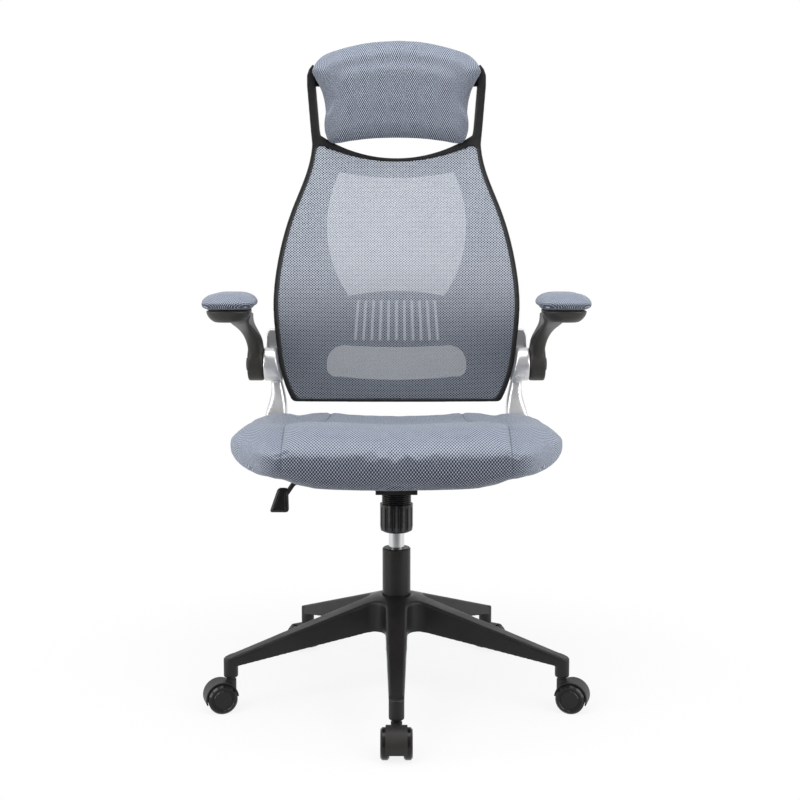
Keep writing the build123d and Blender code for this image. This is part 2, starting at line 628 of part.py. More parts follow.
def tension_pieces():
    """Threaded sleeve, knob and the disc that the knob pushes up under the spring."""
    axis = (0, KNOB_Y)
    root = SLEEVE_RADIUS - THREAD_DEPTH
    turns = int((HOUSING_FLOOR - SLEEVE_BOTTOM) / THREAD_PITCH)
    ridges = []
    for i in range(turns):
        z = SLEEVE_BOTTOM + i * THREAD_PITCH
        ridges += [(root, z), (SLEEVE_RADIUS, z + THREAD_PITCH * THREAD_FLANK),
                   (SLEEVE_RADIUS, z + THREAD_PITCH * (1 - THREAD_FLANK))]
    ends = [(root, HOUSING_FLOOR), (SLEEVE_BORE, HOUSING_FLOOR), (SLEEVE_BORE, SLEEVE_BOTTOM)]
    sleeve = turned(ridges + ends, axis)
    floor = KNOB_BOTTOM + KNOB_FLOOR
    spigot_hole = SPIGOT_RADIUS + RUN
    spigot_end = KNOB_BOTTOM + KNOB_FLOOR / 2
    with BuildPart() as knob:
        add(turned([(0, KNOB_BOTTOM), (KNOB_RADIUS - KNOB_RIM, KNOB_BOTTOM),
                    (KNOB_RADIUS - KNOB_EDGE, KNOB_BOTTOM + KNOB_RIM / 2), (KNOB_RADIUS, KNOB_BOTTOM + 2 * KNOB_RIM),
                    (KNOB_RADIUS, KNOB_TOP), (KNOB_BORE, KNOB_TOP), (KNOB_BORE, floor), (spigot_hole, floor),
                    (spigot_hole, spigot_end), (0, spigot_end)], axis))
        with BuildSketch(Plane.XY.offset(KNOB_BOTTOM + KNOB_RIM)):
            with Locations(axis):
                with PolarLocations(KNOB_RADIUS + FLUTE_RADIUS - KNOB_WALL / 2, FLUTES):
                    Circle(FLUTE_RADIUS)
        extrude(amount=KNOB_TOP - KNOB_BOTTOM - 2 * KNOB_RIM, mode=Mode.SUBTRACT)
    disc = turned([(0, spigot_end + GAP), (SPIGOT_RADIUS, spigot_end + GAP), (SPIGOT_RADIUS, DISC_BOTTOM),
                   (DISC_RADIUS, DISC_BOTTOM), (DISC_RADIUS, DISC_TOP), (0, DISC_TOP)], axis)
    return {"tension_sleeve": sleeve, "tension_knob": knob.part, "tension_disc": disc}


def biarc(start, start_way, end, end_way):
    """Two arcs, tangent to each other and to both ends, from start to end."""
    span = end - start
    ways = start_way + end_way
    a = 2 * (start_way.dot(end_way) - 1)
    b = -2 * span.dot(ways)
    reach = (-b - math.sqrt(b * b - 4 * a * span.dot(span))) / (2 * a)
    middle = (start + start_way * reach + end - end_way * reach) * 0.5
    TangentArc(start, middle, tangent=start_way)
    TangentArc(middle, end, tangent=-end_way, tangent_from_first=False)


def tension_spring():
    """Coil spring between the disc and the seat plate."""
    low = DISC_TOP + SPRING_WIRE + GAP
    rise = PLATE_BOTTOM - GAP - SPRING_WIRE - low
    quarters = 4 * SPRING_TURNS
    slope = rise / (2 * math.pi * SPRING_TURNS)

    def point(i):
        angle = i * math.pi / 2
        x = SPRING_RADIUS * math.cos(angle)
        y = KNOB_Y + SPRING_RADIUS * math.sin(angle)
        return Vector(x, y, low + slope * angle)

    def way(i):
        angle = i * math.pi / 2
        x = -SPRING_RADIUS * math.sin(angle)
        y = SPRING_RADIUS * math.cos(angle)
        return Vector(x, y, slope).normalized()

    print("spring coils lie", round(rise / SPRING_TURNS - 2 * SPRING_WIRE, 2), "mm apart")
    with BuildPart() as spring:
        with BuildLine() as coil:
            for i in range(quarters):
                biarc(point(i), way(i), point(i + 1), way(i + 1))
        with BuildSketch(Plane(coil.line @ 0, z_dir=-(coil.line % 0))):
            Circle(SPRING_WIRE)
        sweep()
    return spring.part


def plate_bolts():
    """Places of the four bolts between the seat plate and the board."""
    x = PLATE_WIDTH / 2 - BOLT_INSET
    return [(side * x, y) for side in (-1, 1) for y in (PLATE_FRONT + BOLT_INSET, PLATE_REAR - BOLT_INSET)]


def foot_bolts():
    """Places of the bolts between the side brackets' feet and the board."""
    x = FOOT_INNER + 2 * BOLT_INSET
    rows = (FOOT_FRONT + BOLT_INSET, FOOT_FRONT + FOOT_LENGTH - BOLT_INSET)
    return [(side * x, y) for side in (-1, 1) for y in rows]


def bolts(places, seat):
    """Bolts from below: heads under seat, shanks into the board."""
    with BuildPart() as group:
        with BuildSketch(Plane.XY.offset(seat - BOLT_HEAD)):
            with Locations(*places):
                Circle(BOLT_HEAD_RADIUS)
        extrude(amount=BOLT_HEAD)
        with BuildSketch(Plane.XY.offset(seat)):
            with Locations(*places):
                Circle(BOLT_RADIUS)
        extrude(amount=BOARD_TOP - seat)
    return group.part


def seat_plate():
    """Flat plate under the board, with two ears that hang on the tilt pivot."""
    ear_inner = HOUSING_WIDTH / 2 + EAR_GAP
    with BuildPart() as plate:
        with BuildSketch(Plane.XY.offset(PLATE_BOTTOM)):
            with Locations((0, (PLATE_FRONT + PLATE_REAR) / 2)):
                RectangleRounded(PLATE_WIDTH, PLATE_REAR - PLATE_FRONT, BOLT_INSET)
        extrude(amount=PLATE_THICKNESS)
        for side in (-1, 1):
            with BuildSketch(Plane.YZ.offset(side * ear_inner)):
                with Locations((PIVOT_Y, PIVOT_Z)):
                    Circle(EAR_RADIUS)
                    Rectangle(2 * EAR_RADIUS, BOARD_BOTTOM - PIVOT_Z, align=(Align.CENTER, Align.MIN))
                    Circle(PIVOT_RADIUS + RUN, mode=Mode.SUBTRACT)
            extrude(amount=side * PLATE_THICKNESS)
        with BuildSketch(Plane.XY.offset(PLATE_BOTTOM)):
            with Locations(*plate_bolts()):
                Circle(BOLT_RADIUS)
        extrude(amount=PLATE_THICKNESS, mode=Mode.SUBTRACT)
    return plate.part


def seat_board():
    """Plywood board inside the cushion's underside."""
    with BuildPart() as board:
        with BuildSketch(Plane.XY.offset(BOARD_BOTTOM)):
            with Locations((0, (BOARD_FRONT + BOARD_REAR) / 2)):
                RectangleRounded(BOARD_WIDTH, BOARD_REAR - BOARD_FRONT, BOARD_CORNER)
            with Locations(*plate_bolts(), *foot_bolts()):
                Circle(BOLT_RADIUS, mode=Mode.SUBTRACT)
        extrude(amount=BOARD_THICKNESS)
    return board.part


def seat_section(side, x, nose_in, rear_in, crown_up, dish_up, tail_up, under_up, drop_up):
    """Side outline of the cushion at one X: rear, dished top, round nose and underside."""
    nose = SEAT_NOSE + nose_in
    rear = SEAT_REAR - rear_in
    length = rear - nose
    under = BOARD_BOTTOM + under_up
    drop = BOARD_BOTTOM + SEAT_DROP + drop_up
    tail = (rear - TAIL_ROUND, BOARD_BOTTOM + SEAT_TAIL + tail_up)
    heel = (rear - TAIL_ROUND, under)
    dish = (nose + DISH_PLACE * length, BOARD_BOTTOM + SEAT_DISH + dish_up)
    crown = (nose + CROWN_PLACE * length, BOARD_BOTTOM + SEAT_CROWN + crown_up)
    tip = (nose, drop + NOSE_HEIGHT * (crown[1] - drop))
    shoulder = (nose + NOSE_SHOULDER[0] * length, tip[1] + NOSE_SHOULDER[1] * (crown[1] - tip[1]))
    chin = (nose + NOSE_UNDER[0] * length, drop + NOSE_UNDER[1] * (tip[1] - drop))
    roll_front = (nose + ROLL_FRONT * length, drop)
    roll_rear = (nose + ROLL_REAR * length, under)
    with BuildSketch(Plane.YZ.offset(side * x)) as section:
        with BuildLine():
            ThreePointArc(heel, (rear, (heel[1] + tail[1]) / 2), tail)
            ThreePointArc(tail, dish, crown)
            ThreePointArc(crown, shoulder, tip)
            ThreePointArc(tip, chin, roll_front)
            Line(roll_front, roll_rear)
            Line(roll_rear, heel)
        make_face()
    return section.sketch


def seat_cushion(board):
    """Dished centre panel between two raised bolsters, sewn together, over the board."""
    with BuildPart() as cushion:
        near_side = [seat_section(1, *station) for station in SEAT_CENTRE]
        far_side = [seat_section(-1, *station) for station in reversed(SEAT_CENTRE[:-1])]
        loft(near_side + far_side)
        for side in (1, -1):
            loft([seat_section(side, *station) for station in SEAT_BOLSTER])
        add(board, mode=Mode.SUBTRACT)
        with BuildSketch(Plane.XY.offset(BOARD_BOTTOM)):
            with Locations(*plate_bolts(), *foot_bolts()):
                Circle(BOLT_RADIUS)
        extrude(amount=BOARD_THICKNESS, mode=Mode.SUBTRACT)
    return cushion.part


def back_path():
    """Middle line of the back's front face, seen from the side."""
    with BuildLine(Plane.YZ) as path:
        FilletPolyline(BACK_LOW, BACK_LUMBAR, BACK_NECK, BACK_HEAD, radius=(LUMBAR_BEND, NECK_BEND))
    return path.line


def back_band(front, rear):
    """A layer of the back between two depths behind its front face, curved both ways."""
    path = back_path()
    half_angle = math.degrees(math.asin(BACK_HALF_SPAN / BACK_ARC))
    with BuildPart() as band:
        with BuildSketch(Plane(path @ 0, x_dir=(1, 0, 0), z_dir=path % 0)):
            with BuildLine():
                near = CenterArc((0, -BACK_ARC), BACK_ARC + front, 90 - half_angle, 2 * half_angle)
                far = CenterArc((0, -BACK_ARC), BACK_ARC + rear, 90 - half_angle, 2 * half_angle)
                Line(near @ 0, far @ 0)
                Line(near @ 1, far @ 1)
            make_face()
        sweep(path=path)
    return band.part


def back_outline(inset, lower_inset, top_inset, end_inset):
    """Front outline of the back below the headrest, drawn in by a rim."""
    bottom = BACK_BOTTOM + lower_inset
    corner = (BACK_BOTTOM_HALF - inset, bottom)
    end = (CROSSBAR_HALF - inset, CROSSBAR_END - end_inset)
    points = [corner] + [(x - inset, z) for x, z in BACK_SIDE] + [end]
    with BuildSketch(Plane.XZ) as outline:
        with BuildLine():
            ThreePointArc((-corner[0], bottom), (0, bottom - BACK_BOTTOM_SAG), corner)
            Spline(*points)
            ThreePointArc(end, (0, CROSSBAR_DIP - top_inset), (-end[0], end[1]))
            Spline(*[(-x, z) for x, z in reversed(points)])
        make_face()
        low = outline.vertices().group_by(Axis.Z)[0]
        fillet(low, BACK_CORNER)
    return outline.sketch


def inner_outline():
    """Front outline of the space inside the rim."""
    return back_outline(RIM, LOWER_RIM, CROSSBAR_HEIGHT, CROSSBAR_ROOT)


def head_upright():
    """Front outline of the right-hand head upright."""
    foot_inner, foot_outer, foot_z = UPRIGHT_FOOT
    neck = CROSSBAR_HALF + UPRIGHT_SPREAD
    inner = HEAD_HALF_WIDTH - UPRIGHT_WIDTH
    with BuildSketch(Plane.XZ) as outline:
        with BuildLine():
            Polyline((foot_inner, foot_z), (foot_outer, foot_z), (neck, CROSSBAR_END),
                     (HEAD_HALF_WIDTH, HEAD_BOARD_TIE), (HEAD_HALF_WIDTH, HEAD_TOP - HEAD_CORNER),
                     (HEAD_HALF_WIDTH - UPRIGHT_WIDTH / 4, HEAD_TOP - HEAD_CORNER / 4),
                     (HEAD_HALF_WIDTH - UPRIGHT_WIDTH * 2 / 3, HEAD_TOP + HEAD_CORNER / 3), (inner, HEAD_TOP),
                     (inner, HEAD_BOARD_TIE), (neck - UPRIGHT_WIDTH, CROSSBAR_END), close=True)
        make_face()
    return outline.sketch


def through_back(layer, *outlines):
    """The part of a layer of the back that lies inside front outlines."""
    with BuildPart() as piece:
        add(layer)
        with BuildSketch(Plane.XZ):
            for outline in outlines:
                add(outline)
        extrude(amount=-BACK_ARC, mode=Mode.INTERSECT)
    return piece.part


def flat_outline(points):
    """A straight-sided front outline."""
    with BuildSketch(Plane.XZ) as outline:
        with BuildLine():
            Polyline(*points, close=True)
        make_face()
    return outline.sketch


def back_frame():
    """Rim with crossbar and head uprights, and the lugs that the side brackets bolt to."""
    with BuildSketch(Plane.XZ) as rim:
        add(back_outline(0, 0, 0, 0))
        add(head_upright())
        add(mirror(head_upright(), about=Plane.YZ, mode=Mode.PRIVATE))
        add(inner_outline(), mode=Mode.SUBTRACT)
    lug_layer = back_band(PANEL_SETBACK + PANEL_THICKNESS, FRAME_DEPTH)
    foot_x = BACK_SIDE[0][0] - RIM / 2
    side_x, side_z = BACK_SIDE[1]
    outer_x = side_x - RIM / 2
    with BuildPart() as frame:
        add(through_back(back_band(0, FRAME_DEPTH), rim.sketch))
        for side in (-1, 1):
            corners = [(LUG_INNER, TAB_BOTTOM), (foot_x, TAB_BOTTOM), (outer_x, side_z), (outer_x, TAB_TOP),
                       (LUG_INNER, TAB_TOP)]
            add(through_back(lug_layer, flat_outline([(side * x, z) for x, z in corners])))
        add(back_bolts(), mode=Mode.SUBTRACT)
    return frame.part


def back_bolts():
    """Bolts from behind, through the side brackets into the frame's lugs."""
    x = LUG_INNER + 2 * BOLT_INSET
    z = (TAB_TOP + TAB_BOTTOM) / 2
    with BuildPart() as group:
        with BuildSketch(Plane.XZ.offset(-TAB_REAR)):
            with Locations((-x, z), (x, z)):
                Circle(BOLT_HEAD_RADIUS)
        extrude(amount=-BOLT_HEAD)
        with BuildSketch(Plane.XZ.offset(-TAB_REAR)):
            with Locations((-x, z), (x, z)):
                Circle(BOLT_RADIUS)
        extrude(amount=TAB_REAR - UPRIGHT_REAR + BOLT_RADIUS / 2)
    return group.part


def arc_chain(*points):
    """Arcs through three points each, every arc starting where the last one ends."""
    for i in range(0, len(points) - 2, 2):
        ThreePointArc(points[i], points[i + 1], points[i + 2])


def across(points):
    """The same points on the other side of the middle line, in reverse."""
    return [(-x, z) for x, z in reversed(points)]


def panel_openings():
    """Front outlines of the window, the slits and the lower opening of the rear panel."""
    window = [WINDOW_TOP, WINDOW_SIDE, WINDOW_FOOT]
    hatch = [(x, BACK_BOTTOM + z) for x, z in HATCH_SIDE]
    sag = (0, BACK_BOTTOM + HATCH_SAG)
    dip = (0, BACK_BOTTOM + HATCH_DIP)
    with BuildSketch(Plane.XZ) as openings:
        with BuildLine():
            arc_chain(*window, (0, WINDOW_SILL), *across(window), (0, WINDOW_DIP), WINDOW_TOP)
        make_face()
        with BuildLine():
            arc_chain(*hatch, sag, *across(hatch), dip, hatch[0])
        make_face()
        for i in range(SLITS):
            place = i - (SLITS - 1) / 2
            with Locations(Location((SLIT_PITCH * place, SLIT_Z), SLIT_FAN * place)):
                SlotOverall(SLIT_LENGTH, SLIT_WIDTH, rotation=90)
    return openings.sketch


def back_panel():
    """Thin rear panel with its openings, inside the frame's rim."""
    layer = back_band(PANEL_SETBACK, PANEL_SETBACK + PANEL_THICKNESS)
    with BuildPart() as panel:
        add(through_back(layer, inner_outline()))
        with BuildSketch(Plane.XZ):
            add(panel_openings())
        extrude(amount=-BACK_ARC, mode=Mode.SUBTRACT)
    return panel.part


def back_mesh():
    """Mesh cover stretched inside the frame's rim."""
    layer = back_band(MESH_SETBACK, MESH_SETBACK + MESH_THICKNESS)
    return through_back(layer, inner_outline())


def headrest_board(frame):
    """Plastic board behind the headrest pad, tied to both uprights."""
    layer = back_band(PANEL_SETBACK, FRAME_DEPTH - PANEL_THICKNESS)
    reach = HEAD_HALF_WIDTH - UPRIGHT_WIDTH / 2
    top = HEAD_TOP - UPRIGHT_WIDTH
    right = [(HEAD_BOARD_HALF, HEAD_BOARD_BOTTOM), (HEAD_BOARD_HALF, HEAD_BOARD_TIE), (reach, HEAD_BOARD_TIE),
             (reach, top)]
    with BuildPart() as board:
        add(through_back(layer, flat_outline(right + across(right))))
        add(frame, mode=Mode.SUBTRACT)
    return board.part


def headrest_section(plane, inset):
    """Front outline of the headrest pad on one of its layers, drawn in all round."""
    middle = (HEAD_PAD_TOP + HEAD_PAD_BOTTOM) / 2
    wide = 1 - inset / HEAD_PAD_HALF
    high = 1 - inset / (HEAD_PAD_TOP - middle)
    right = [(x * wide, (share - 0.5) * HEAD_PAD_HEIGHT * high) for x, share in HEAD_PAD_SIDE]
    left = across(right)
    top = (HEAD_PAD_TOP - middle) * high
    bottom = (HEAD_PAD_BOTTOM + HEAD_PAD_ARCH - middle) * high
    with BuildSketch(plane) as section:
        with BuildLine():
            arc_chain(*right, (0, bottom), *left, (0, top), right[0])
        make_face()
    return section.sketch


def headrest_pad(frame, board):
    """Crowned pad with wings, let in round the uprights and the board."""
    lean = math.atan2(BACK_HEAD[0] - BACK_NECK[0], BACK_HEAD[1] - BACK_NECK[1])
    middle = (HEAD_PAD_TOP + HEAD_PAD_BOTTOM) / 2
    back_y = BACK_NECK[0] + (middle - BACK_NECK[1]) * math.tan(lean)
    forward = Vector(0, -math.cos(lean), math.sin(lean))
    layers = []
    for depth, inset in HEAD_PAD_LAYERS:
        origin = Vector(0, back_y, middle) + forward * depth
        layers.append(headrest_section(Plane(origin, x_dir=(1, 0, 0), z_dir=forward), inset))
    with BuildPart() as pad:
        loft(layers)
        add(frame, mode=Mode.SUBTRACT)
        add(board, mode=Mode.SUBTRACT)
    return pad.part


def arm_bracket(frame):
    """Right-hand side bracket: foot under the seat, upright, arm boss and tab behind the back."""
    foot_bottom = BOARD_BOTTOM - FOOT_THICKNESS
    foot_reach = UPRIGHT_REAR - FOOT_FRONT - UPRIGHT_FOOT_WIDTH
    heel = BRACKET_OUTER - UPRIGHT_FOOT_WIDTH / 2
    with BuildPart() as bracket:
        for rise, inner, outer, front, rear in UPRIGHT_LAYERS:
            with BuildSketch(Plane(((inner + outer) / 2, (front + rear) / 2, BOARD_BOTTOM + rise))):
                RectangleRounded(outer - inner, rear - front, UPRIGHT_ROUND)
        loft()
        with BuildSketch(Plane.XY.offset(foot_bottom)):
            with Locations((BRACKET_OUTER, FOOT_FRONT)):
                Rectangle(UPRIGHT_FOOT_WIDTH, foot_reach, align=(Align.MAX, Align.MIN))
        extrude(amount=FOOT_THICKNESS)
        with BuildSketch(Plane.XZ.offset(-TAB_FRONT)):
            with BuildLine():
                Polyline((TAB_INNER, TAB_TOP), (TAB_INNER, TAB_BOTTOM), (heel, ARM_PIVOT_Z),
                         (BRACKET_OUTER, ARM_PIVOT_Z), (BOSS_OUTER, TAB_BOTTOM), (BOSS_OUTER, TAB_TOP - BOLT_INSET),
                         (BOSS_OUTER - BOLT_INSET / 2, TAB_TOP), close=True)
            make_face()
        extrude(amount=TAB_FRONT - TAB_REAR)
        with BuildSketch(Plane.YZ.offset(BRACKET_INNER)):
            with Locations((ARM_PIVOT_Y, ARM_PIVOT_Z)):
                Circle(BOSS_RADIUS)
        extrude(amount=BOSS_OUTER - BRACKET_INNER)
        with BuildSketch(Plane.XY.offset(foot_bottom)):
            with Locations((FOOT_INNER, FOOT_FRONT)):
                Rectangle(BRACKET_INNER - FOOT_INNER, FOOT_LENGTH, align=(Align.MIN, Align.MIN))
        extrude(amount=FOOT_THICKNESS)
        with BuildSketch(Plane.XZ):
            add(back_outline(0, 0, 0, 0))
        extrude(amount=-UPRIGHT_REAR, mode=Mode.SUBTRACT)
        add(frame, mode=Mode.SUBTRACT)
        with BuildSketch(Plane.YZ.offset(BRACKET_INNER)):
            with Locations((ARM_PIVOT_Y, ARM_PIVOT_Z)):
                Circle(ARM_PIVOT_RADIUS)
        extrude(amount=BOSS_OUTER, mode=Mode.SUBTRACT)
        with BuildSketch(Plane.XY.offset(foot_bottom)):
            with Locations(*foot_bolts()):
                Circle(BOLT_RADIUS)
        extrude(amount=FOOT_THICKNESS, mode=Mode.SUBTRACT)
        add(back_bolts(), mode=Mode.SUBTRACT)
    return bracket.part


def pad_level(z):
    """Level plane at a height, over the middle of the right-hand pad and turned as the pad is."""
    toe = math.radians(PAD_TOE)
    origin = (PAD_CENTRE_X, (PAD_FRONT + PAD_REAR) / 2, z)
    return Plane(origin, x_dir=(math.cos(toe), -math.sin(toe), 0), z_dir=(0, 0, 1))


def arm():
    """Right-hand arm: pivot disc, sweeping neck and the tray under the pad."""
    middle_x = (ARM_INNER + ARM_OUTER) / 2
    with BuildPart() as body:
        for share, ahead, aside, width, depth in NECK_LAYERS:
            with BuildSketch(Plane((middle_x + aside, ARM_PIVOT_Y - ahead, ARM_PIVOT_Z + PAD_RISE * share))):
                RectangleRounded(width, depth, width * NECK_ROUND)
        loft()
        for share, drop in TRAY_LAYERS:
            width = (PAD_WIDTH - 2 * TRAY_INSET) * share
            length = PAD_REAR - PAD_FRONT - 2 * TRAY_INSET - (1 - share) * PAD_WIDTH
            with BuildSketch(pad_level(PAD_BOTTOM - TRAY_DEPTH * drop)):
                RectangleRounded(width, length, width * PAD_ROUND)
        loft()
        with BuildSketch(Plane.YZ.offset(ARM_INNER)):
            with Locations((ARM_PIVOT_Y, ARM_PIVOT_Z)):
                Circle(BOSS_RADIUS)
        extrude(amount=ARM_THICKNESS)
        with BuildSketch(Plane.YZ.offset(ARM_INNER)):
            with Locations((ARM_PIVOT_Y, ARM_PIVOT_Z)):
                Circle(ARM_PIVOT_RADIUS + RUN)
        extrude(amount=ARM_THICKNESS, mode=Mode.SUBTRACT)
    return body.part


def arm_pad():
    """Right-hand arm pad: crowned, with drawn-in sides."""
    length = PAD_REAR - PAD_FRONT
    with BuildPart() as pad:
        for rise, inset in PAD_LAYERS:
            width = PAD_WIDTH - 2 * inset
            with BuildSketch(pad_level(PAD_BOTTOM + PAD_HEIGHT * rise)):
                RectangleRounded(width, length - 2 * inset, width * PAD_ROUND)
        loft()
    return pad.part


def arm_pivot():
    """Right-hand arm bolt, through the bracket's boss and the arm."""
    with BuildPart() as bolt:
        inner = BACK_SIDE[1][0]
        with BuildSketch(Plane.YZ.offset(inner)):
            with Locations((ARM_PIVOT_Y, ARM_PIVOT_Z)):
                Circle(ARM_PIVOT_RADIUS)
        extrude(amount=ARM_OUTER + GAP - inner)
        with BuildSketch(Plane.YZ.offset(ARM_OUTER + GAP)):
            with Locations((ARM_PIVOT_Y, ARM_PIVOT_Z)):
                Circle(2 * ARM_PIVOT_RADIUS)
        extrude(amount=ARM_PIVOT_RADIUS / 2)
    return bolt.part


os.makedirs("parts", exist_ok=True)

for leg, angle in LEG_ANGLES.items():
    save(on_leg(castor_hood(), angle), f"castor_{leg}_hood")
    save(on_leg(castor_stem(), angle), f"castor_{leg}_stem")
    save(on_leg(castor_axle(), angle), f"castor_{leg}_axle")
    for name, side in SIDES.items():
        save(on_leg(castor_wheel(side), angle), f"castor_{leg}_wheel_{name}")

save(base(), "five_star_base")
for name, piece in gas_lift().items():
    save(piece, name)

rod = lever_rod()
save(rod, "lever_rod")
save(lever_paddle(rod), "lever_paddle")
save(tilt_housing(), "tilt_housing")
save(tilt_pivot_pin(), "tilt_pivot_pin")
for name, piece in tension_pieces().items():
    save(piece, name)
save(tension_spring(), "tension_spring")

board = seat_board()
save(seat_plate(), "seat_plate")
save(board, "seat_board")
save(seat_cushion(board), "seat_cushion")
save(bolts(plate_bolts(), PLATE_BOTTOM), "seat_bolts")
save(bolts(foot_bolts(), BOARD_BOTTOM - FOOT_THICKNESS), "bracket_bolts")

frame = back_frame()
head_board = headrest_board(frame)
save(frame, "back_frame")
save(back_panel(), "back_panel")
save(back_mesh(), "back_mesh")
save(back_bolts(), "back_bolts")
save(head_board, "headrest_board")
save(headrest_pad(frame, head_board), "headrest_pad")

right_pieces = {"arm_bracket": arm_bracket(frame), "arm": arm(), "arm_pad": arm_pad(), "arm_pivot": arm_pivot()}
for name, piece in right_pieces.items():
    save(piece, f"{name}_right")
    save(mirrored(piece), f"{name}_left")
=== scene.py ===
import bmesh
import bpy
import json
import math
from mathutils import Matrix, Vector


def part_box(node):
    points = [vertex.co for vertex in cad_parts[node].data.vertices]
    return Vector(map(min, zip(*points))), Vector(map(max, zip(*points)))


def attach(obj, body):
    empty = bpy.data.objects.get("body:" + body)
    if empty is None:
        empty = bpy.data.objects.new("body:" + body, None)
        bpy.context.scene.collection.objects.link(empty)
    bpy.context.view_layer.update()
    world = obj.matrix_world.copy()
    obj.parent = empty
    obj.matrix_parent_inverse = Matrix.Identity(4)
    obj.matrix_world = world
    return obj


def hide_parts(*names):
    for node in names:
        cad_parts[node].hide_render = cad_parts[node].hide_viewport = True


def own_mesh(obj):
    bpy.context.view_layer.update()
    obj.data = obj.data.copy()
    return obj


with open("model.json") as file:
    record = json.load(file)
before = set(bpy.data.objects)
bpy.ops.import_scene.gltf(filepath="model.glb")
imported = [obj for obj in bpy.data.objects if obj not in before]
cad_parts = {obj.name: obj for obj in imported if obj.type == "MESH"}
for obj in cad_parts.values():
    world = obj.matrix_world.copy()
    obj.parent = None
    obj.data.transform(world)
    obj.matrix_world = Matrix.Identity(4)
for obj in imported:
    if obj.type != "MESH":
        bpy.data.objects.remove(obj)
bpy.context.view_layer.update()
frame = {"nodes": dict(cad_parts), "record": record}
nodes = frame["nodes"]
scene = bpy.context.scene

# Lengths are in metres, as in the frame: +Z up, front -Y.

# The back's surface, as the solids have it
BACK_ARC = 1.0
BACK_LINE = ((0.240, 0.470), (0.230, 0.610), (0.306, 0.990), (0.322, 1.185))
LUMBAR_BEND = 0.7
NECK_BEND = 0.9
BACK_SIDE = ((0.201, 0.502), (0.220, 0.552), (0.2325, 0.630), (0.2366, 0.685),
             (0.2285, 0.775), (0.203, 0.872), (0.174, 0.950), (0.166, 1.003))
BACK_BOTTOM = 0.502
CROSSBAR_DIP = 0.967            # lower edge of the crossbar
CROSSBAR_END = 1.003

# Cloth of the back, cut along the inside of the rim
CLOTH_MARGIN = 0.004
CLOTH_LOW = 0.498
NET_HALF = 0.245
NET_TOP = 1.006
LINING_HALF = 0.248
LINING_TOP = 1.008
LINING_CELL = 0.004

# Weaves: width and height of one cell
NET_WIDE = 0.0057
NET_HIGH = 0.0049
NET_YARN = 0.0006               # half width of a yarn
NET_DEPTH = 0.002               # behind the back's front face
LINING_DEPTH = 0.003
WEAVE_WIDE = 0.0050
WEAVE_HIGH = 0.0057
HEAD_WEAVE_WIDE = 0.0041
HEAD_WEAVE_HIGH = 0.0069

# Seams of the seat
SEAM_DEPTH = 0.0022
SEAM_CORE = 0.0008              # half width of the seam's bottom
SEAM_REACH = 0.006              # from the seam's middle to the full cushion

# The tension knob and its spring
KNOB_Y = -0.085
FLUTES = 14
LOWER_SPRING_KEEP = 0.72        # length left when the disc is right up
UPPER_SPRING_KEEP = 0.74        # length left at full tilt

# The height lever's grip
GRIP_TOP_WIDE = 0.018
GRIP_TOP_DEEP = 0.013
GRIP_INSET = 0.002              # drawn in from the node's box
GRIP_ROUND = 0.0055
DISH_EDGE = 0.0014
DISH_DEPTH = 0.0012
DISH_LEAST_AREA = 0.0001        # only the grip's broad faces are dished

# Camera: fitted to the photograph's frame
PICTURE = 800
FOCUS = 1254                    # focal length in the picture's pixels
SHIFT = 3.5                     # sideways, in pixels
SENSOR = 36
EYE = (0, -2.196, 0.752)
LOOK_DOWN = 5.84

LAMPS = (
    # name, place, target, size, power
    ("key_lamp", (-1.6, -1.9, 2.4), (0, 0, 0.7), 1.4, 34),
    ("fill_lamp", (1.7, -1.8, 2.0), (0, 0, 0.7), 1.4, 28),
    ("left_lamp", (-2.0, -0.9, 0.6), (0, 0, 0.45), 1.0, 15),
    ("right_lamp", (2.0, -0.9, 0.6), (0, 0, 0.45), 1.0, 13),
    ("top_lamp", (0, -0.3, 3.0), (0, 0, 0.6), 1.8, 26),
)


# Modelling helpers

def only(piece):
    """Select one piece alone and make it active."""
    if bpy.context.mode != "OBJECT":
        bpy.ops.object.mode_set(mode="OBJECT")
    bpy.ops.object.select_all(action="DESELECT")
    piece.select_set(True)
    bpy.context.view_layer.objects.active = piece


def shaped(piece, kind, **settings):
    """Add one modifier to a piece and apply it."""
    modifier = piece.modifiers.new(kind.title(), kind)
    for key, value in settings.items():
        setattr(modifier, key, value)
    only(piece)
    bpy.ops.object.modifier_apply(modifier=modifier.name)


def smooth(piece, angle=None):
    """Smooth shading, all over or up to an angle."""
    only(piece)
    if angle is None:
        bpy.ops.object.shade_smooth()
    else:
        bpy.ops.object.shade_smooth_by_angle(angle=math.radians(angle))


def copy_of(node, name):
    """A piece of its own that starts as a node's shape, with its triangles joined."""
    piece = bpy.data.objects.new(name, nodes[node].data.copy())
    scene.collection.objects.link(piece)
    piece.data.materials.clear()
    only(piece)
    bpy.ops.object.mode_set(mode="EDIT")
    bpy.ops.mesh.select_all(action="SELECT")
    bpy.ops.mesh.remove_doubles(threshold=0.00001)
    bpy.ops.mesh.customdata_custom_splitnormals_clear()
    bpy.ops.object.mode_set(mode="OBJECT")
    return piece


def remeshed(node, name, voxel, rounds):
    """A node's shape in small even faces, melted over by some rounds of smoothing."""
    piece = copy_of(node, name)
    piece.data.remesh_voxel_size = voxel
    only(piece)
    bpy.ops.object.voxel_remesh()
    shaped(piece, "SMOOTH", factor=0.5, iterations=rounds)
    return piece


def moulded(node, name, voxel, rounds):
    """A node's shape with its edges rounded over, as a moulding comes out of its tool."""
    piece = remeshed(node, name, voxel, rounds)
    smooth(piece)
    return piece


def soft_copy(node, name, voxel, rounds):
    """A cushion's shape with its facets melted together, kept to its first outline."""
    piece = remeshed(node, name, voxel, rounds)
    refit(piece, node)
    return piece


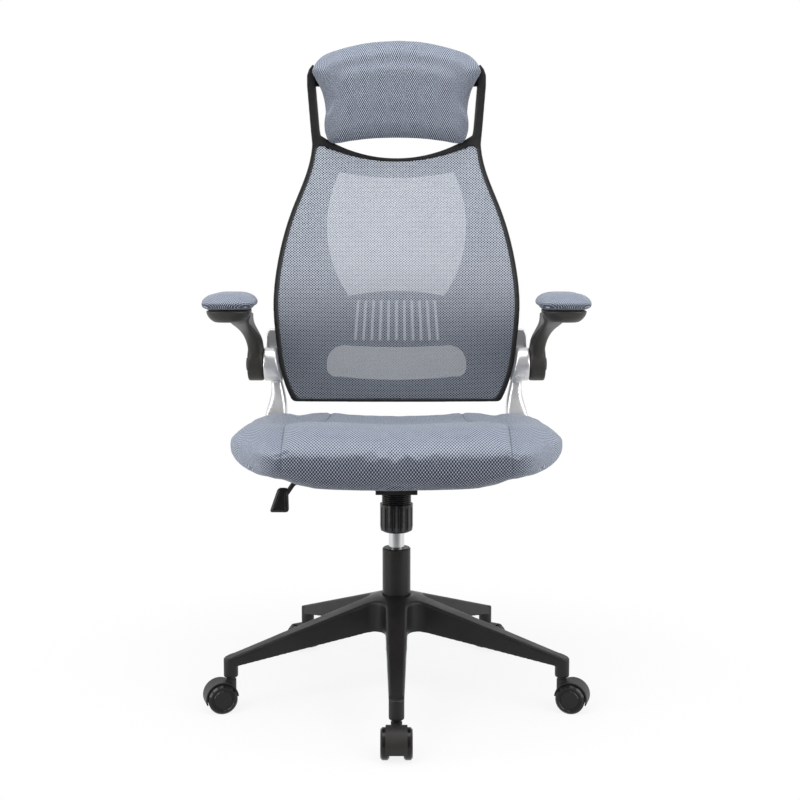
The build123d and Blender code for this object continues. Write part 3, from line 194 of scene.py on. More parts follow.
def refit(piece, node):
    """Stretch a piece back to the box of its node."""
    lows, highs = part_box(node)
    spots = [v.co.copy() for v in piece.data.vertices]
    for i in range(3):
        low = min(spot[i] for spot in spots)
        high = max(spot[i] for spot in spots)
        for spot in spots:
            spot[i] = lows[i] + (spot[i] - low) * (highs[i] - lows[i]) / (high - low)
    for vertex, spot in zip(piece.data.vertices, spots):
        vertex.co = spot


def swollen(piece, node, cap, pressure=4.0, frames=20):
    """Cloth filled with pressure for a moment, each point held within a cap of where it was."""
    rest = [v.co.copy() for v in piece.data.vertices]
    cloth = piece.modifiers.new("Swell", "CLOTH")
    cloth.settings.quality = 4
    cloth.settings.use_pressure = True
    cloth.settings.uniform_pressure_force = pressure
    cloth.settings.effector_weights.gravity = 0
    cloth.point_cache.frame_start = 1
    cloth.point_cache.frame_end = frames
    for number in range(1, frames + 1):
        scene.frame_set(number)
    only(piece)
    bpy.ops.object.modifier_apply(modifier=cloth.name)
    scene.frame_set(1)
    for vertex, start in zip(piece.data.vertices, rest):
        move = vertex.co - start
        if move.length > cap:
            vertex.co = start + move * (cap / move.length)
    refit(piece, node)


def lay_weave(piece, place):
    """A UV map in metres for the weave, from each point of the piece."""
    layer = piece.data.uv_layers.new(name="weave")
    spots = [place(v.co) for v in piece.data.vertices]
    for loop in piece.data.loops:
        layer.data[loop.index].uv = spots[loop.vertex_index]


def weave_shade_mask(piece, low, high, share=lambda spot: 1.0):
    """Painted light and shade mask for the weave, kept in the stretch attribute: how dark its pits and
    how pale its yarn are painted, most where the cloth faces down, least where it faces up.
    """
    layer = piece.data.attributes.new("stretch", "FLOAT", "POINT")
    shade_shares = [ease(-v.normal.z, low, high) * share(v.co) for v in piece.data.vertices]
    layer.data.foreach_set("value", shade_shares)


def finished(piece, body, slot, material, *replaced):
    """Material, body and the nodes that the piece stands for. The slot is not used."""
    piece.data.materials.clear()
    piece.data.materials.append(material)
    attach(piece, body)
    if replaced:
        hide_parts(*replaced)


def ease(value, low, high):
    """A soft step from 0 at low to 1 at high."""
    share = min(1.0, max(0.0, (value - low) / (high - low)))
    return share * share * (3 - 2 * share)


# Material helpers

def node_in(tree, kind, settings=None, **inputs):
    """One shader node: settings are its own properties, inputs are values or sockets to link."""
    made = tree.nodes.new(kind)
    for key, value in (settings or {}).items():
        setattr(made, key, value)
    for key, value in inputs.items():
        numbered = key[0] == "i" and key[1:].isdigit()
        socket = made.inputs[int(key[1:]) if numbered else key.replace("_", " ")]
        if isinstance(value, bpy.types.NodeSocket):
            tree.links.new(value, socket)
        else:
            socket.default_value = value
    return made


def sums(tree, operation, first, second=0.0):
    """One step of arithmetic."""
    return node_in(tree, "ShaderNodeMath", {"operation": operation}, i0=first, i1=second).outputs[0]


def ranged(tree, value, low, high, to_low, to_high):
    """A value carried from one range to another, eased and clamped."""
    made = node_in(tree, "ShaderNodeMapRange", {"interpolation_type": "SMOOTHSTEP"},
                   i0=value, i1=low, i2=high, i3=to_low, i4=to_high)
    return made.outputs[0]


def blended(tree, share, first, second):
    """A mix of two colours."""
    made = node_in(tree, "ShaderNodeMix", {"data_type": "RGBA"})
    for index, value in ((0, share), (6, first), (7, second)):
        if isinstance(value, bpy.types.NodeSocket):
            tree.links.new(value, made.inputs[index])
        else:
            made.inputs[index].default_value = value
    return made.outputs[2]


def colour(red, green, blue):
    """An opaque linear colour."""
    return (red, green, blue, 1.0)


def noise(tree, scale, detail=2.0, vector=None):
    """Noise on the piece's own coordinates."""
    spot = vector or node_in(tree, "ShaderNodeTexCoord").outputs["Object"]
    return node_in(tree, "ShaderNodeTexNoise", Vector=spot, Scale=scale, Detail=detail).outputs[0]


def bumped(tree, height, strength, distance):
    """A normal raised by a height."""
    return node_in(tree, "ShaderNodeBump", Height=height, Strength=strength, Distance=distance).outputs[0]


def principled(name, **values):
    """A material with its shader's plain values set."""
    material = bpy.data.materials.new(name)
    material.use_nodes = True
    shader = material.node_tree.nodes["Principled BSDF"]
    for key, value in values.items():
        shader.inputs[key.replace("_", " ")].default_value = value
    return material, material.node_tree, shader


def grained_plastic(name, dark, light, rough_low, rough_high, grain, strength):
    """Moulded plastic: slight blotches of colour and gloss, and a fine grain."""
    material, tree, shader = principled(name, Specular_IOR_Level=0.26)
    blotch = noise(tree, 22.0, 4.0)
    fine = noise(tree, grain, 2.0)
    tree.links.new(blended(tree, blotch, dark, light), shader.inputs["Base Color"])
    tree.links.new(ranged(tree, blotch, 0.3, 0.7, rough_low, rough_high), shader.inputs["Roughness"])
    tree.links.new(bumped(tree, fine, strength, 0.0004), shader.inputs["Normal"])
    return material


def fluted_gloss(axis_y, flutes):
    """Glossy black plastic of the knob, with a painted highlight: paler colour on the ridges between its
    flutes.
    """
    material, tree, shader = principled("fluted_knob_plastic", Specular_IOR_Level=0.4)
    spot = node_in(tree, "ShaderNodeTexCoord").outputs["Object"]
    parts = node_in(tree, "ShaderNodeSeparateXYZ", Vector=spot)
    angle = sums(tree, "ARCTAN2", sums(tree, "SUBTRACT", parts.outputs[1], axis_y), parts.outputs[0])
    wave = sums(tree, "COSINE", sums(tree, "MULTIPLY", angle, flutes))
    ridge = ranged(tree, wave, -1.0, -0.2, 1.0, 0.0)
    # Painted highlight on the ridges, broken up by noise; the ridges are also made rougher.
    ridge_highlight = sums(tree, "MULTIPLY", ridge, ranged(tree, noise(tree, 60.0, 3.0), 0.25, 0.75, 0.5, 1.0))
    tree.links.new(blended(tree, ridge_highlight, colour(0.005, 0.005, 0.006), colour(0.05, 0.05, 0.052)),
                   shader.inputs["Base Color"])
    tree.links.new(ranged(tree, ridge_highlight, 0.0, 1.0, 0.14, 0.3), shader.inputs["Roughness"])
    return material


def streaked_metal(name, dark, light, rough_low, rough_high, stretch, metallic=1.0):
    """Metal with fine streaks along one direction."""
    material, tree, shader = principled(name, Metallic=metallic)
    spot = node_in(tree, "ShaderNodeTexCoord").outputs["Object"]
    spot = node_in(tree, "ShaderNodeMapping", Vector=spot, Scale=stretch).outputs[0]
    streak = noise(tree, 1.0, 3.0, spot)
    tree.links.new(blended(tree, streak, dark, light), shader.inputs["Base Color"])
    tree.links.new(ranged(tree, streak, 0.3, 0.7, rough_low, rough_high), shader.inputs["Roughness"])
    return material


def diamonds(tree, wide, high):
    """Diamond lattice on the weave map: 0 on the yarn, 1 in the middle of a hole."""
    spot = node_in(tree, "ShaderNodeUVMap", {"uv_map": "weave"}).outputs[0]
    parts = node_in(tree, "ShaderNodeSeparateXYZ", Vector=spot)
    across = sums(tree, "MULTIPLY", parts.outputs[0], math.pi / wide)
    along = sums(tree, "MULTIPLY", parts.outputs[1], math.pi / high)
    first = sums(tree, "ABSOLUTE", sums(tree, "SINE", sums(tree, "ADD", across, along)))
    second = sums(tree, "ABSOLUTE", sums(tree, "SINE", sums(tree, "SUBTRACT", across, along)))
    return sums(tree, "MULTIPLY", first, second)


def air_mesh(name, yarn, yarn_light, pit_shade):
    """Spacer fabric: a lattice of pale yarn over pits painted dark as the shade inside them; where the
    stretch mask is high the pits open wider and darker and the yarn is painted paler, as painted shade
    and highlight.
    """
    material, tree, shader = principled(name, Roughness=0.85, Sheen_Weight=0.3, Sheen_Roughness=0.4,
                                        Sheen_Tint=colour(0.8, 0.84, 0.9))
    lattice = diamonds(tree, WEAVE_WIDE, WEAVE_HIGH)
    # The stretch attribute is a painted light and shade mask, high where the cloth faces down, low where
    # it faces up.
    stretch = node_in(tree, "ShaderNodeAttribute", {"attribute_name": "stretch"}).outputs["Fac"]
    edge = ranged(tree, stretch, 0.0, 1.0, 0.24, -0.04)
    hole = ranged(tree, sums(tree, "SUBTRACT", lattice, edge), 0.0, 0.22, 0.0, 1.0)
    depth = sums(tree, "MULTIPLY", hole, ranged(tree, stretch, 0.0, 1.0, 0.85, 1.0))
    sewn = node_in(tree, "ShaderNodeAttribute", {"attribute_name": "sewn"}).outputs["Fac"]
    gap = sums(tree, "ABSOLUTE", sums(tree, "SUBTRACT", sewn, 1.0))
    depth = sums(tree, "MAXIMUM", depth, ranged(tree, gap, 0.0004, 0.0016, 0.6, 0.0))
    uneven = noise(tree, 60.0, 3.0)
    thread = noise(tree, 1500.0, 1.0)
    face = blended(tree, uneven, yarn, yarn_light)
    face = blended(tree, sums(tree, "MULTIPLY", thread, 0.25), face, yarn_light)
    # Painted highlight: the yarn is made paler where the stretch mask is high.
    face = blended(tree, sums(tree, "MULTIPLY", stretch, 0.6), face, colour(0.72, 0.78, 0.88))
    # Painted shade: the pits take the dark pit colour, and the seams' line is drawn in it too.
    tree.links.new(blended(tree, depth, face, pit_shade), shader.inputs["Base Color"])
    relief = sums(tree, "SUBTRACT", sums(tree, "MULTIPLY", thread, 0.12), depth)
    tree.links.new(bumped(tree, relief, 0.4, 0.001), shader.inputs["Normal"])
    return material


def net_yarn():
    """Yarn of the open back: brushed, with painted shade where it dips into a hole and painted shade low
    on the back, where the lumbar curve faces down.
    """
    material, tree, shader = principled("back_net_yarn", Roughness=0.8, Sheen_Weight=0.25,
                                        Sheen_Roughness=0.4, Sheen_Tint=colour(0.8, 0.84, 0.9))
    lattice = diamonds(tree, NET_WIDE, NET_HIGH)
    uneven = noise(tree, 45.0, 3.0)
    thread = noise(tree, 1800.0, 2.0)
    face = blended(tree, uneven, colour(0.43, 0.475, 0.55), colour(0.51, 0.56, 0.635))
    face = blended(tree, sums(tree, "MULTIPLY", thread, 0.3), face, colour(0.6, 0.65, 0.72))
    # Painted shade low on the back: below 0.78 m the yarn is mixed more and more towards dark blue-grey.
    spot = node_in(tree, "ShaderNodeTexCoord").outputs["Object"]
    height = node_in(tree, "ShaderNodeSeparateXYZ", Vector=spot).outputs[2]
    face = blended(tree, ranged(tree, height, 0.6, 0.78, 0.62, 0.0), face, colour(0.06, 0.072, 0.1))
    # Painted shade where the yarn dips into a hole.
    dip_shade = ranged(tree, lattice, 0.3, 0.8, 0.0, 0.5)
    tree.links.new(blended(tree, dip_shade, face, colour(0.03, 0.036, 0.05)), shader.inputs["Base Color"])
    tree.links.new(bumped(tree, thread, 0.5, 0.0004), shader.inputs["Normal"])
    return material


def lining_shade_cloth():
    """Thin inner face of the back's cloth, coloured near black as painted shade for the shadow between
    the net and the panel; partly see-through, so pale where light comes through.
    """
    material, tree, shader = principled("back_lining_shade_cloth", Roughness=0.9, Alpha=0.7)
    thread = noise(tree, 900.0, 2.0)
    tree.links.new(blended(tree, thread, colour(0.004, 0.008, 0.016), colour(0.009, 0.015, 0.028)),
                   shader.inputs["Base Color"])
    return material


def plywood():
    """Bent birch plywood with a long grain."""
    material, tree, shader = principled("seat_plywood", Roughness=0.6)
    spot = node_in(tree, "ShaderNodeTexCoord").outputs["Object"]
    spot = node_in(tree, "ShaderNodeMapping", Vector=spot, Scale=(9.0, 90.0, 250.0)).outputs[0]
    grain = noise(tree, 1.0, 5.0, spot)
    tree.links.new(blended(tree, grain, colour(0.46, 0.31, 0.17), colour(0.72, 0.56, 0.38)),
                   shader.inputs["Base Color"])
    tree.links.new(bumped(tree, grain, 0.3, 0.0004), shader.inputs["Normal"])
    return material


# Yarn, paler yarn, and the pits' painted shade.
FABRIC = air_mesh("grey_blue_air_mesh", colour(0.325, 0.37, 0.455), colour(0.43, 0.482, 0.58),
                  colour(0.009, 0.014, 0.034))
NET = net_yarn()
LINING_SHADE = lining_shade_cloth()
NYLON = grained_plastic(
    "black_nylon", dark=colour(0.007, 0.007, 0.008), light=colour(0.013, 0.013, 0.014),
    rough_low=0.34, rough_high=0.46, grain=900.0, strength=0.12)
HOOD_PLASTIC = grained_plastic(
    "grained_hood_plastic", dark=colour(0.014, 0.0135, 0.013), light=colour(0.024, 0.023, 0.0215),
    rough_low=0.42, rough_high=0.55, grain=500.0, strength=0.25)
FRAME_PLASTIC = grained_plastic(
    "black_frame_plastic", dark=colour(0.009, 0.009, 0.01), light=colour(0.015, 0.015, 0.016),
    rough_low=0.26, rough_high=0.36, grain=900.0, strength=0.1)
ARM_PLASTIC = grained_plastic(
    "charcoal_arm_plastic", dark=colour(0.022, 0.021, 0.019), light=colour(0.034, 0.032, 0.029),
    rough_low=0.34, rough_high=0.46, grain=800.0, strength=0.15)
GLOSS = grained_plastic(
    "glossy_black_plastic", dark=colour(0.006, 0.006, 0.007), light=colour(0.011, 0.011, 0.012),
    rough_low=0.14, rough_high=0.22, grain=700.0, strength=0.04)
TUBE_PAINT = grained_plastic(
    "black_powder_coat", dark=colour(0.007, 0.0065, 0.006), light=colour(0.013, 0.0125, 0.012),
    rough_low=0.28, rough_high=0.4, grain=1400.0, strength=0.1)
KNOB_GLOSS = fluted_gloss(KNOB_Y, FLUTES)
CHROME = streaked_metal(
    "bright_chrome", dark=colour(0.6, 0.61, 0.62), light=colour(0.76, 0.77, 0.78),
    rough_low=0.1, rough_high=0.18, stretch=(500.0, 500.0, 20.0))
STEEL = streaked_metal(
    "plain_steel", dark=colour(0.4, 0.4, 0.41), light=colour(0.58, 0.58, 0.59),
    rough_low=0.25, rough_high=0.4, stretch=(300.0, 300.0, 60.0))
SPRING_STEEL = streaked_metal(
    "dark_spring_steel", dark=colour(0.1, 0.1, 0.105), light=colour(0.2, 0.2, 0.21),
    rough_low=0.3, rough_high=0.5, stretch=(200.0, 200.0, 200.0))
SILVER = streaked_metal(
    "satin_silver_paint", dark=colour(0.57, 0.57, 0.58), light=colour(0.67, 0.67, 0.68),
    rough_low=0.26, rough_high=0.34, stretch=(30.0, 30.0, 30.0), metallic=0.78)
PLYWOOD = plywood()

FINISHES = {
    "black_nylon": NYLON, "wheel_plastic": GLOSS, "steel": STEEL, "black_tube": TUBE_PAINT,
    "bush_plastic": NYLON, "chrome_cylinder": CHROME, "black_sheet": TUBE_PAINT,
    "knob_plastic": GLOSS, "spring_steel": SPRING_STEEL, "plywood": PLYWOOD, "air_mesh": FABRIC,
    "back_net": NET, "silver_paint": SILVER, "frame_plastic": FRAME_PLASTIC,
    "arm_plastic": ARM_PLASTIC,
}


def finish_of(part):
    """A part's finish: its slot's, but for the castors' stems and hoods and the fluted knob."""
    if part["node"].endswith("_stem"):
        return TUBE_PAINT
    if part["node"].endswith("_hood"):
        return HOOD_PLASTIC
    if part["node"] == "tension_knob":
        return KNOB_GLOSS
    return FINISHES[part["material_slot"]]


for part in frame["record"]["subparts"]:
    shown = nodes[part["node"]]
    shown.data.materials.clear()
    shown.data.materials.append(finish_of(part))


# Camera, light and floor

def camera():
    """Camera at the photograph's angle."""
    bpy.ops.object.camera_add(location=EYE, rotation=(math.radians(90 - LOOK_DOWN), 0, 0))
    made = bpy.context.object
    made.data.sensor_width = SENSOR
    made.data.lens = SENSOR * FOCUS / PICTURE
    made.data.shift_x = SHIFT / PICTURE
    scene.camera = made


def lamp(name, place, target, size, power):
    """A soft square lamp aimed at a point."""
    bpy.ops.object.light_add(type="AREA", location=place)
    made = bpy.context.object
    made.name = name
    made.data.size = size
    made.data.energy = power
    made.rotation_euler = (Vector(target) - Vector(place)).to_track_quat("-Z", "Y").to_euler()


def seen_straight(tree):
    """Light path, and 1 on it where the camera sees a surface directly or through another."""
    path = node_in(tree, "ShaderNodeLightPath")
    seen = sums(tree, "MAXIMUM", path.outputs["Is Camera Ray"], path.outputs["Is Transmission Ray"])
    return path, seen


def white_room():
    """World: white to the eye, dimmer in front where metal mirrors it, and a plain fill light."""
    world = bpy.data.worlds.new("white_room")
    scene.world = world
    world.use_nodes = True
    tree = world.node_tree
    path, seen = seen_straight(tree)
    around = node_in(tree, "ShaderNodeTexCoord").outputs["Generated"]
    way = node_in(tree, "ShaderNodeSeparateXYZ", Vector=around)
    mirrored = ranged(tree, way.outputs[1], -0.95, -0.3, 0.3, 1.0)
    mirrored = sums(tree, "MULTIPLY", mirrored, path.outputs["Is Glossy Ray"])
    plain = sums(tree, "MULTIPLY", sums(tree, "SUBTRACT", 1.0, path.outputs["Is Glossy Ray"]), 0.42)
    strength = sums(tree, "MAXIMUM", seen, sums(tree, "ADD", mirrored, plain))
    back = tree.nodes["Background"]
    back.inputs["Color"].default_value = colour(1, 1, 1)
    tree.links.new(strength, back.inputs["Strength"])


def pale_floor():
    """Floor that is white to the eye and keeps a light shadow under the chair."""
    bpy.ops.mesh.primitive_circle_add(vertices=64, radius=12, fill_type="NGON", location=(0, 0, 0))
    floor = bpy.context.object
    floor.name = "studio_floor"
    material = bpy.data.materials.new("pale_floor")
    material.use_nodes = True
    tree = material.node_tree
    tree.nodes.clear()
    path, seen = seen_straight(tree)
    seen = sums(tree, "MAXIMUM", seen, path.outputs["Is Glossy Ray"])
    spot = node_in(tree, "ShaderNodeTexCoord").outputs["Object"]
    away = node_in(tree, "ShaderNodeVectorMath", {"operation": "LENGTH"}, i0=spot).outputs["Value"]
    plain = node_in(tree, "ShaderNodeBsdfDiffuse", Color=colour(0.85, 0.85, 0.85))
    parts = node_in(tree, "ShaderNodeSeparateXYZ", Vector=spot)
    mirrored = ranged(tree, parts.outputs[1], -1.5, -0.3, 0.2, 1.0)
    direct = sums(tree, "SUBTRACT", 1.0, path.outputs["Is Glossy Ray"])
    bright = node_in(tree, "ShaderNodeEmission", Color=colour(1, 1, 1),
                     Strength=sums(tree, "MAXIMUM", direct, mirrored))
    share = ranged(tree, away, 0.35, 0.9, 0.86, 1.0)
    lit = node_in(tree, "ShaderNodeMixShader", i0=share, i1=plain.outputs[0], i2=bright.outputs[0])
    both = node_in(tree, "ShaderNodeMixShader", i0=seen, i1=plain.outputs[0], i2=lit.outputs[0])
    node_in(tree, "ShaderNodeOutputMaterial", Surface=both.outputs[0])
    floor.data.materials.append(material)


def studio():
    """White room, pale floor and soft lamps."""
    white_room()
    pale_floor()
    for settings in LAMPS:
        lamp(*settings)
    scene.view_settings.view_transform = "Standard"


camera()
studio()


# The back

def back_line(z):
    """Depth of the back's middle line at a height, and its lean."""
    points = BACK_LINE
    for first, second in zip(points, points[1:]):
        if z <= second[1] or second is points[-1]:
            lean = math.atan2(second[0] - first[0], second[1] - first[1])
            y = first[0] + (z - first[1]) * math.tan(lean)
            break
    for corner, bend in ((1, LUMBAR_BEND), (2, NECK_BEND)):
        before, at, after = points[corner - 1], points[corner], points[corner + 1]
        lean_in = math.atan2(at[0] - before[0], at[1] - before[1])
        lean_out = math.atan2(after[0] - at[0], after[1] - at[1])
        reach = bend * abs(math.tan((lean_out - lean_in) / 2))
        low = at[1] - reach * math.cos(lean_in)
        high = at[1] + reach * math.cos(lean_out)
        if low < z < high:
            share = (z - low) / (high - low)
            lean = lean_in + (lean_out - lean_in) * share
            start = at[0] - reach * math.sin(lean_in)
            turn = math.tan(lean_out) - math.tan(lean_in)
            y = start + (z - low) * math.tan(lean_in) + (z - low) ** 2 * turn / (2 * (high - low))
    return y, lean


def on_back(x, z, depth):
    """Point of a layer of the back, at a depth behind its front face."""
    angle = math.asin(x / (BACK_ARC + depth))
    off = (BACK_ARC + depth) * math.cos(angle) - BACK_ARC
    y, lean = back_line(z)
    y, lean = back_line(z + math.sin(lean) * off)
    return Vector((x, y + math.cos(lean) * off, z))


def side_x(z):
    """Half width of the back at a height, a smooth line through its side points."""
    points = BACK_SIDE
    if z <= points[0][1]:
        return points[0][0]
    for i in range(len(points) - 1):
        (x1, z1), (x2, z2) = points[i], points[i + 1]
        if z <= z2:
            x0, z0 = points[max(i - 1, 0)]
            x3, z3 = points[min(i + 2, len(points) - 1)]
            slope_in = (x2 - x0) / (z2 - z0)
            slope_out = (x3 - x1) / (z3 - z1)
            t = (z - z1) / (z2 - z1)
            span = z2 - z1
            return ((2 * t ** 3 - 3 * t ** 2 + 1) * x1 + (t ** 3 - 2 * t ** 2 + t) * span * slope_in
                    + (3 * t ** 2 - 2 * t ** 3) * x2 + (t ** 3 - t ** 2) * span * slope_out)
    return points[-1][0]


def inside_rim(x, z, margin):
    """Whether a point lies inside the back's outline, drawn in by a margin."""
    top = CROSSBAR_DIP + (CROSSBAR_END - CROSSBAR_DIP) * (x / BACK_SIDE[-1][0]) ** 2 + margin
    return abs(x) < side_x(z) - margin and BACK_BOTTOM + margin / 2 < z < top


def cut_to_rim(mesh):
    """Take away the cloth outside the rim."""
    outside = [v for v in mesh.verts if not inside_rim(v.co.x, v.co.z, CLOTH_MARGIN)]
    bmesh.ops.delete(mesh, geom=outside, context="VERTS")


def back_net():
    """Open net of diamond cells, stretched over the whole back."""
    columns = int(2 * NET_HALF / NET_WIDE)
    rows = int((NET_TOP - CLOTH_LOW) / NET_HIGH)
    count = 2 * ((columns + rows) // 2)
    bpy.ops.mesh.primitive_grid_add(x_subdivisions=count, y_subdivisions=count, size=count)
    net = bpy.context.object
    net.name = "back_net"
    mesh = bmesh.new()
    mesh.from_mesh(net.data)
    middle = (CLOTH_LOW + NET_TOP) / 2
    for vertex in mesh.verts:
        a, b = vertex.co.x, vertex.co.y
        vertex.co = Vector(((a - b) * NET_WIDE / 2, 0, middle + (a + b) * NET_HIGH / 2))
    cut_to_rim(mesh)
    mesh.to_mesh(net.data)
    mesh.free()
    only(net)
    bpy.ops.object.mode_set(mode="EDIT")
    bpy.ops.mesh.select_all(action="SELECT")
    bpy.ops.mesh.inset(thickness=NET_YARN, use_boundary=True, use_individual=True)
    bpy.ops.mesh.delete(type="FACE")
    bpy.ops.object.mode_set(mode="OBJECT")
    lay_weave(net, lambda spot: (spot.x, spot.z - middle))
    for vertex in net.data.vertices:
        vertex.co = on_back(vertex.co.x, vertex.co.z, NET_DEPTH)
    smooth(net)
    finished(net, "seat", "back_net", NET, "back_mesh")


def back_lining():
    """Inner face of the back's cloth, a smooth sheet just behind the net that carries the painted shade
    between net and panel.
    """
    width = 2 * LINING_HALF
    height = LINING_TOP - CLOTH_LOW
    middle = (CLOTH_LOW + LINING_TOP) / 2
    bpy.ops.mesh.primitive_grid_add(x_subdivisions=int(width / LINING_CELL),
                                    y_subdivisions=int(height / LINING_CELL), size=1)
    lining = bpy.context.object
    lining.name = "back_lining"
    mesh = bmesh.new()
    mesh.from_mesh(lining.data)
    for vertex in mesh.verts:
        vertex.co = Vector((vertex.co.x * width, 0, middle + vertex.co.y * height))
    cut_to_rim(mesh)
    for vertex in mesh.verts:
        vertex.co = on_back(vertex.co.x, vertex.co.z, LINING_DEPTH)
    mesh.to_mesh(lining.data)
    mesh.free()
    smooth(lining)
    finished(lining, "seat", "back_net", LINING_SHADE)


def back_rim():
    """Rim, uprights, crossbar and rear panel as one rounded moulding."""
    rim = moulded("back_frame", "back_rim", 0.0016, 14)
    finished(rim, "seat", "frame_plastic", FRAME_PLASTIC, "back_frame")


# Cushions

def rolled(over, up, radius):
    """Length along a cloth that rolls round an edge, from its top."""
    return radius * math.atan2(over, up)


def seat_place(point):
    """Weave map of the seat: straight over the top, rolled round the nose, the bolsters and the rear."""
    nose_y, nose_z, nose_r = -0.175, 0.435, 0.075
    side_line, side_z, side_r = 0.215, 0.44, 0.055
    rear_y, rear_z, rear_r = 0.17, 0.44, 0.06
    v = point.y
    if point.y < nose_y:
        v = nose_y - rolled(nose_y - point.y, point.z - nose_z, nose_r)
    if point.y > rear_y:
        v = rear_y + rolled(point.y - rear_y, point.z - rear_z, rear_r)
    u = point.x
    if abs(point.x) > side_line:
        u = side_line + rolled(abs(point.x) - side_line, point.z - side_z, side_r)
        u = math.copysign(u, point.x)
    return u, v


def seam_x(y):
    """Where the bolster's seam runs: straight at the front, drawing in towards the rear."""
    return 0.184 - 0.058 * ease(y, -0.16, 0.2)


def even_lower_rim(cushion):
    """Smooth the step between the bolsters and the front, where the seat turns under."""
    rim = cushion.vertex_groups.new(name="lower_rim")
    for vertex in cushion.data.vertices:
        outer = max(ease(-vertex.co.y, 0.1, 0.18), ease(abs(vertex.co.x), 0.15, 0.2))
        rim.add([vertex.index], outer * ease(-vertex.normal.z, -0.3, 0.3), "REPLACE")
    shaped(cushion, "SMOOTH", factor=0.5, iterations=60, vertex_group="lower_rim")
    refit(cushion, "seat_cushion")


def sew(cushion):
    """Both seams: each point's distance for the fabric's line, and a groove in the upper side."""
    sewn = cushion.data.attributes.new("sewn", "FLOAT", "POINT")
    gaps = [abs(v.co.x) - seam_x(v.co.y) for v in cushion.data.vertices]
    sewn.data.foreach_set("value", [1.0 + gap for gap in gaps])
    outward = [v.normal.copy() for v in cushion.data.vertices]
    for vertex, normal, gap in zip(cushion.data.vertices, outward, gaps):
        if normal.z > -0.2:
            vertex.co -= normal * SEAM_DEPTH * (1 - ease(abs(gap), SEAM_CORE, SEAM_REACH))


def seat():
    """Dished cushion between two bolsters, sewn along both seams."""
    cushion = soft_copy("seat_cushion", "seat_pad", 0.0052, 14)
    even_lower_rim(cushion)
    swollen(cushion, "seat_cushion", 0.005)
    shaped(cushion, "SUBSURF", levels=1, render_levels=1)
    # Less painted pit shade on the bolsters, whose sides are lit from the side.
    weave_shade_mask(cushion, -0.85, -0.35, lambda spot: 1 - 0.6 * ease(abs(spot.x), 0.17, 0.24))
    sew(cushion)
    smooth(cushion)
    lay_weave(cushion, seat_place)
    finished(cushion, "seat", "air_mesh", FABRIC, "seat_cushion")


def head_place(point):
    """Weave map of the headrest: the cloth is pulled tall, and rolled over the top and the sides."""
    side_line, side_ahead, side_r = 0.115, 0.03, 0.04
    crown_z, crown_r = 1.15, 0.045
    ahead = back_line(point.z)[0] - point.y
    high = point.z
    if point.z > crown_z:
        high = crown_z + rolled(point.z - crown_z, max(ahead, 0.0) + 0.004, crown_r)
    wide = point.x
    if abs(point.x) > side_line:
        wide = side_line + rolled(abs(point.x) - side_line, ahead - side_ahead, side_r)
        wide = math.copysign(wide, point.x)
    return wide * WEAVE_WIDE / HEAD_WEAVE_WIDE, high * WEAVE_HIGH / HEAD_WEAVE_HIGH


def headrest():
    """Crowned headrest pad with wings."""
    pad = soft_copy("headrest_pad", "headrest_cushion", 0.004, 26)
    swollen(pad, "headrest_pad", 0.004)
    shaped(pad, "SUBSURF", levels=1, render_levels=1)
    smooth(pad)
    lay_weave(pad, head_place)
    weave_shade_mask(pad, -0.6, 0.0, lambda spot: 0.66)
    finished(pad, "seat", "air_mesh", FABRIC, "headrest_pad")


def arm_place(middle, half, height):
    """Weave map of an arm pad: rolled evenly over its sides and ends."""
    def place(point):
        out = Vector((point.x - middle.x, point.y - middle.y))
        end = max(0.0, abs(out.y) - half) * (1 if out.y > 0 else -1)
        side = Vector((out.x, end))
        reach = side.length
        drop = max(0.0, height - point.z)
        stretch = (reach + drop) / reach if reach > 0.0005 else 1.0
        return side.x * stretch, out.y - end + end * stretch
    return place


def arm_cushions():
    """Crowned pads on the arms."""
    for side in ("left", "right"):
        pad = soft_copy(f"arm_pad_{side}", f"arm_cushion_{side}", 0.004, 14)
        swollen(pad, f"arm_pad_{side}", 0.003)
        shaped(pad, "SUBSURF", levels=1, render_levels=1)
        smooth(pad)
        spots = [v.co for v in pad.data.vertices]
        middle = sum((spot.copy() for spot in spots), Vector()) / len(spots)
        lay_weave(pad, arm_place(middle, 0.09, max(spot.z for spot in spots)))
        weave_shade_mask(pad, -0.7, 0.3)
        finished(pad, f"arm_{side}", "air_mesh", FABRIC, f"arm_pad_{side}")


def ease_shoulder(arm, pad):
    """Lean the neck's top outwards, behind the pad's inner end."""
    low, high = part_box(pad)
    inner = min(abs(low.x), abs(high.x)) + 0.028
    for vertex in arm.data.vertices:
        share = ease(vertex.co.z, low.z - 0.07, low.z - 0.015) * ease(vertex.co.y, 0.03, 0.09)
        push = max(0.0, inner - abs(vertex.co.x)) * share
        vertex.co.x += math.copysign(push, vertex.co.x)


def arms():
    """Arm mouldings and the silver brackets that carry them."""
    for side in ("left", "right"):
        arm = moulded(f"arm_{side}", f"arm_moulding_{side}", 0.002, 24)
        ease_shoulder(arm, f"arm_pad_{side}")
        shaped(arm, "SMOOTH", factor=0.5, iterations=8)
        finished(arm, f"arm_{side}", "arm_plastic", ARM_PLASTIC, f"arm_{side}")
        bracket = moulded(f"arm_bracket_{side}", f"side_bracket_{side}", 0.0018, 30)
        finished(bracket, "seat", "silver_paint", SILVER, f"arm_bracket_{side}")


def star_base():
    """Five-star base, rounded over."""
    base = moulded("five_star_base", "star_base", 0.002, 9)
    shaped(base, "DECIMATE", ratio=0.45)
    finished(base, "base", "black_nylon", NYLON, "five_star_base")


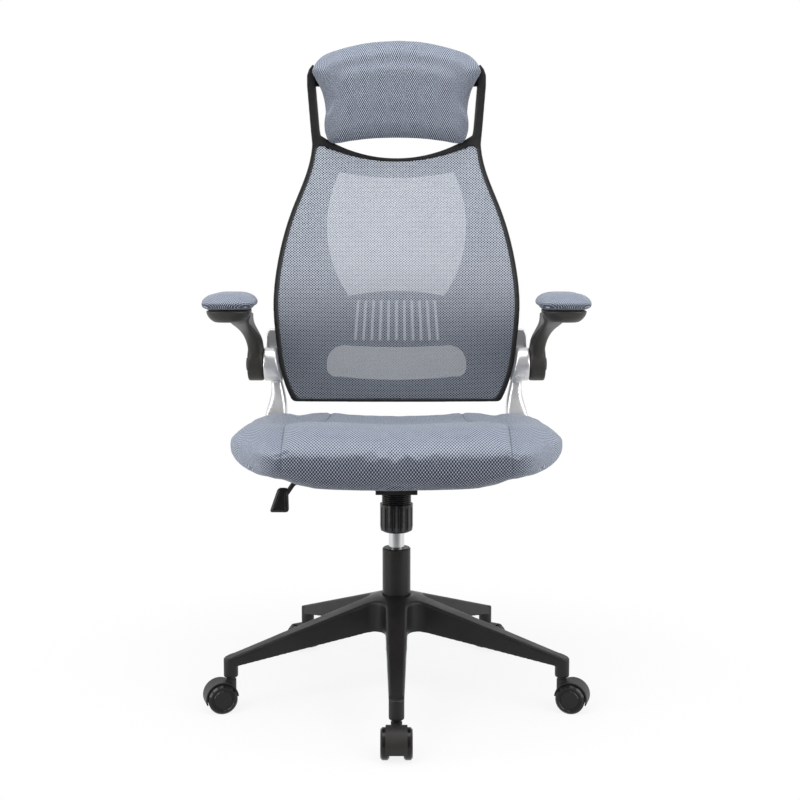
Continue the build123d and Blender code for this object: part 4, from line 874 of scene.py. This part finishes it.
def spring():
    """Tension spring in two halves, cut at its middle. In the chair the disc presses the lower, the
    tilting seat the upper; here both halves are carried on the column.
    """
    low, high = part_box("tension_spring")
    middle = (low + high) / 2
    for half, joint, keep in (("lower", "tension_travel", LOWER_SPRING_KEEP),
                              ("upper", "tilt", UPPER_SPRING_KEEP)):
        coil = copy_of("tension_spring", f"tension_spring_{half}")
        bpy.ops.object.mode_set(mode="EDIT")
        bpy.ops.mesh.select_all(action="SELECT")
        bpy.ops.mesh.bisect(plane_co=middle, plane_no=(0, 0, 1), use_fill=True,
                            clear_outer=half == "lower", clear_inner=half == "upper")
        bpy.ops.object.mode_set(mode="OBJECT")
        smooth(coil, 40)
        finished(coil, "column", "spring_steel", SPRING_STEEL, "tension_spring")
        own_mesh(coil)


def paddle():
    """Flared grip of the height lever, rounded over and dished in front."""
    low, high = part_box("lever_paddle")
    centre = (low + high) / 2
    bpy.ops.mesh.primitive_cube_add(size=1, location=(0, 0, 0))
    grip = bpy.context.object
    grip.name = "lever_grip"
    for vertex in grip.data.vertices:
        if vertex.co.z > 0:
            wide = GRIP_TOP_WIDE
            deep = GRIP_TOP_DEEP
            middle = high.x - GRIP_TOP_WIDE / 2 - GRIP_INSET
            level = high.z
        else:
            wide = high.x - low.x - GRIP_INSET
            deep = high.y - low.y
            middle = centre.x
            level = low.z
        vertex.co = Vector((middle + vertex.co.x * wide, centre.y + vertex.co.y * deep, level))
    only(grip)
    bpy.ops.object.mode_set(mode="EDIT")
    bpy.ops.mesh.select_all(action="SELECT")
    bpy.ops.mesh.bevel(offset=GRIP_ROUND, segments=5)
    bpy.ops.mesh.select_all(action="DESELECT")
    bpy.ops.object.mode_set(mode="OBJECT")
    for face in grip.data.polygons:
        face.select = abs(face.normal.y) > 0.9 and face.area > DISH_LEAST_AREA
    bpy.ops.object.mode_set(mode="EDIT")
    bpy.ops.mesh.inset(thickness=DISH_EDGE, depth=-DISH_DEPTH, use_individual=True)
    bpy.ops.object.mode_set(mode="OBJECT")
    smooth(grip, 40)
    finished(grip, "lever", "knob_plastic", GLOSS, "lever_paddle")


back_net()
back_lining()
back_rim()
star_base()
spring()
paddle()
seat()
headrest()
arm_cushions()
arms()
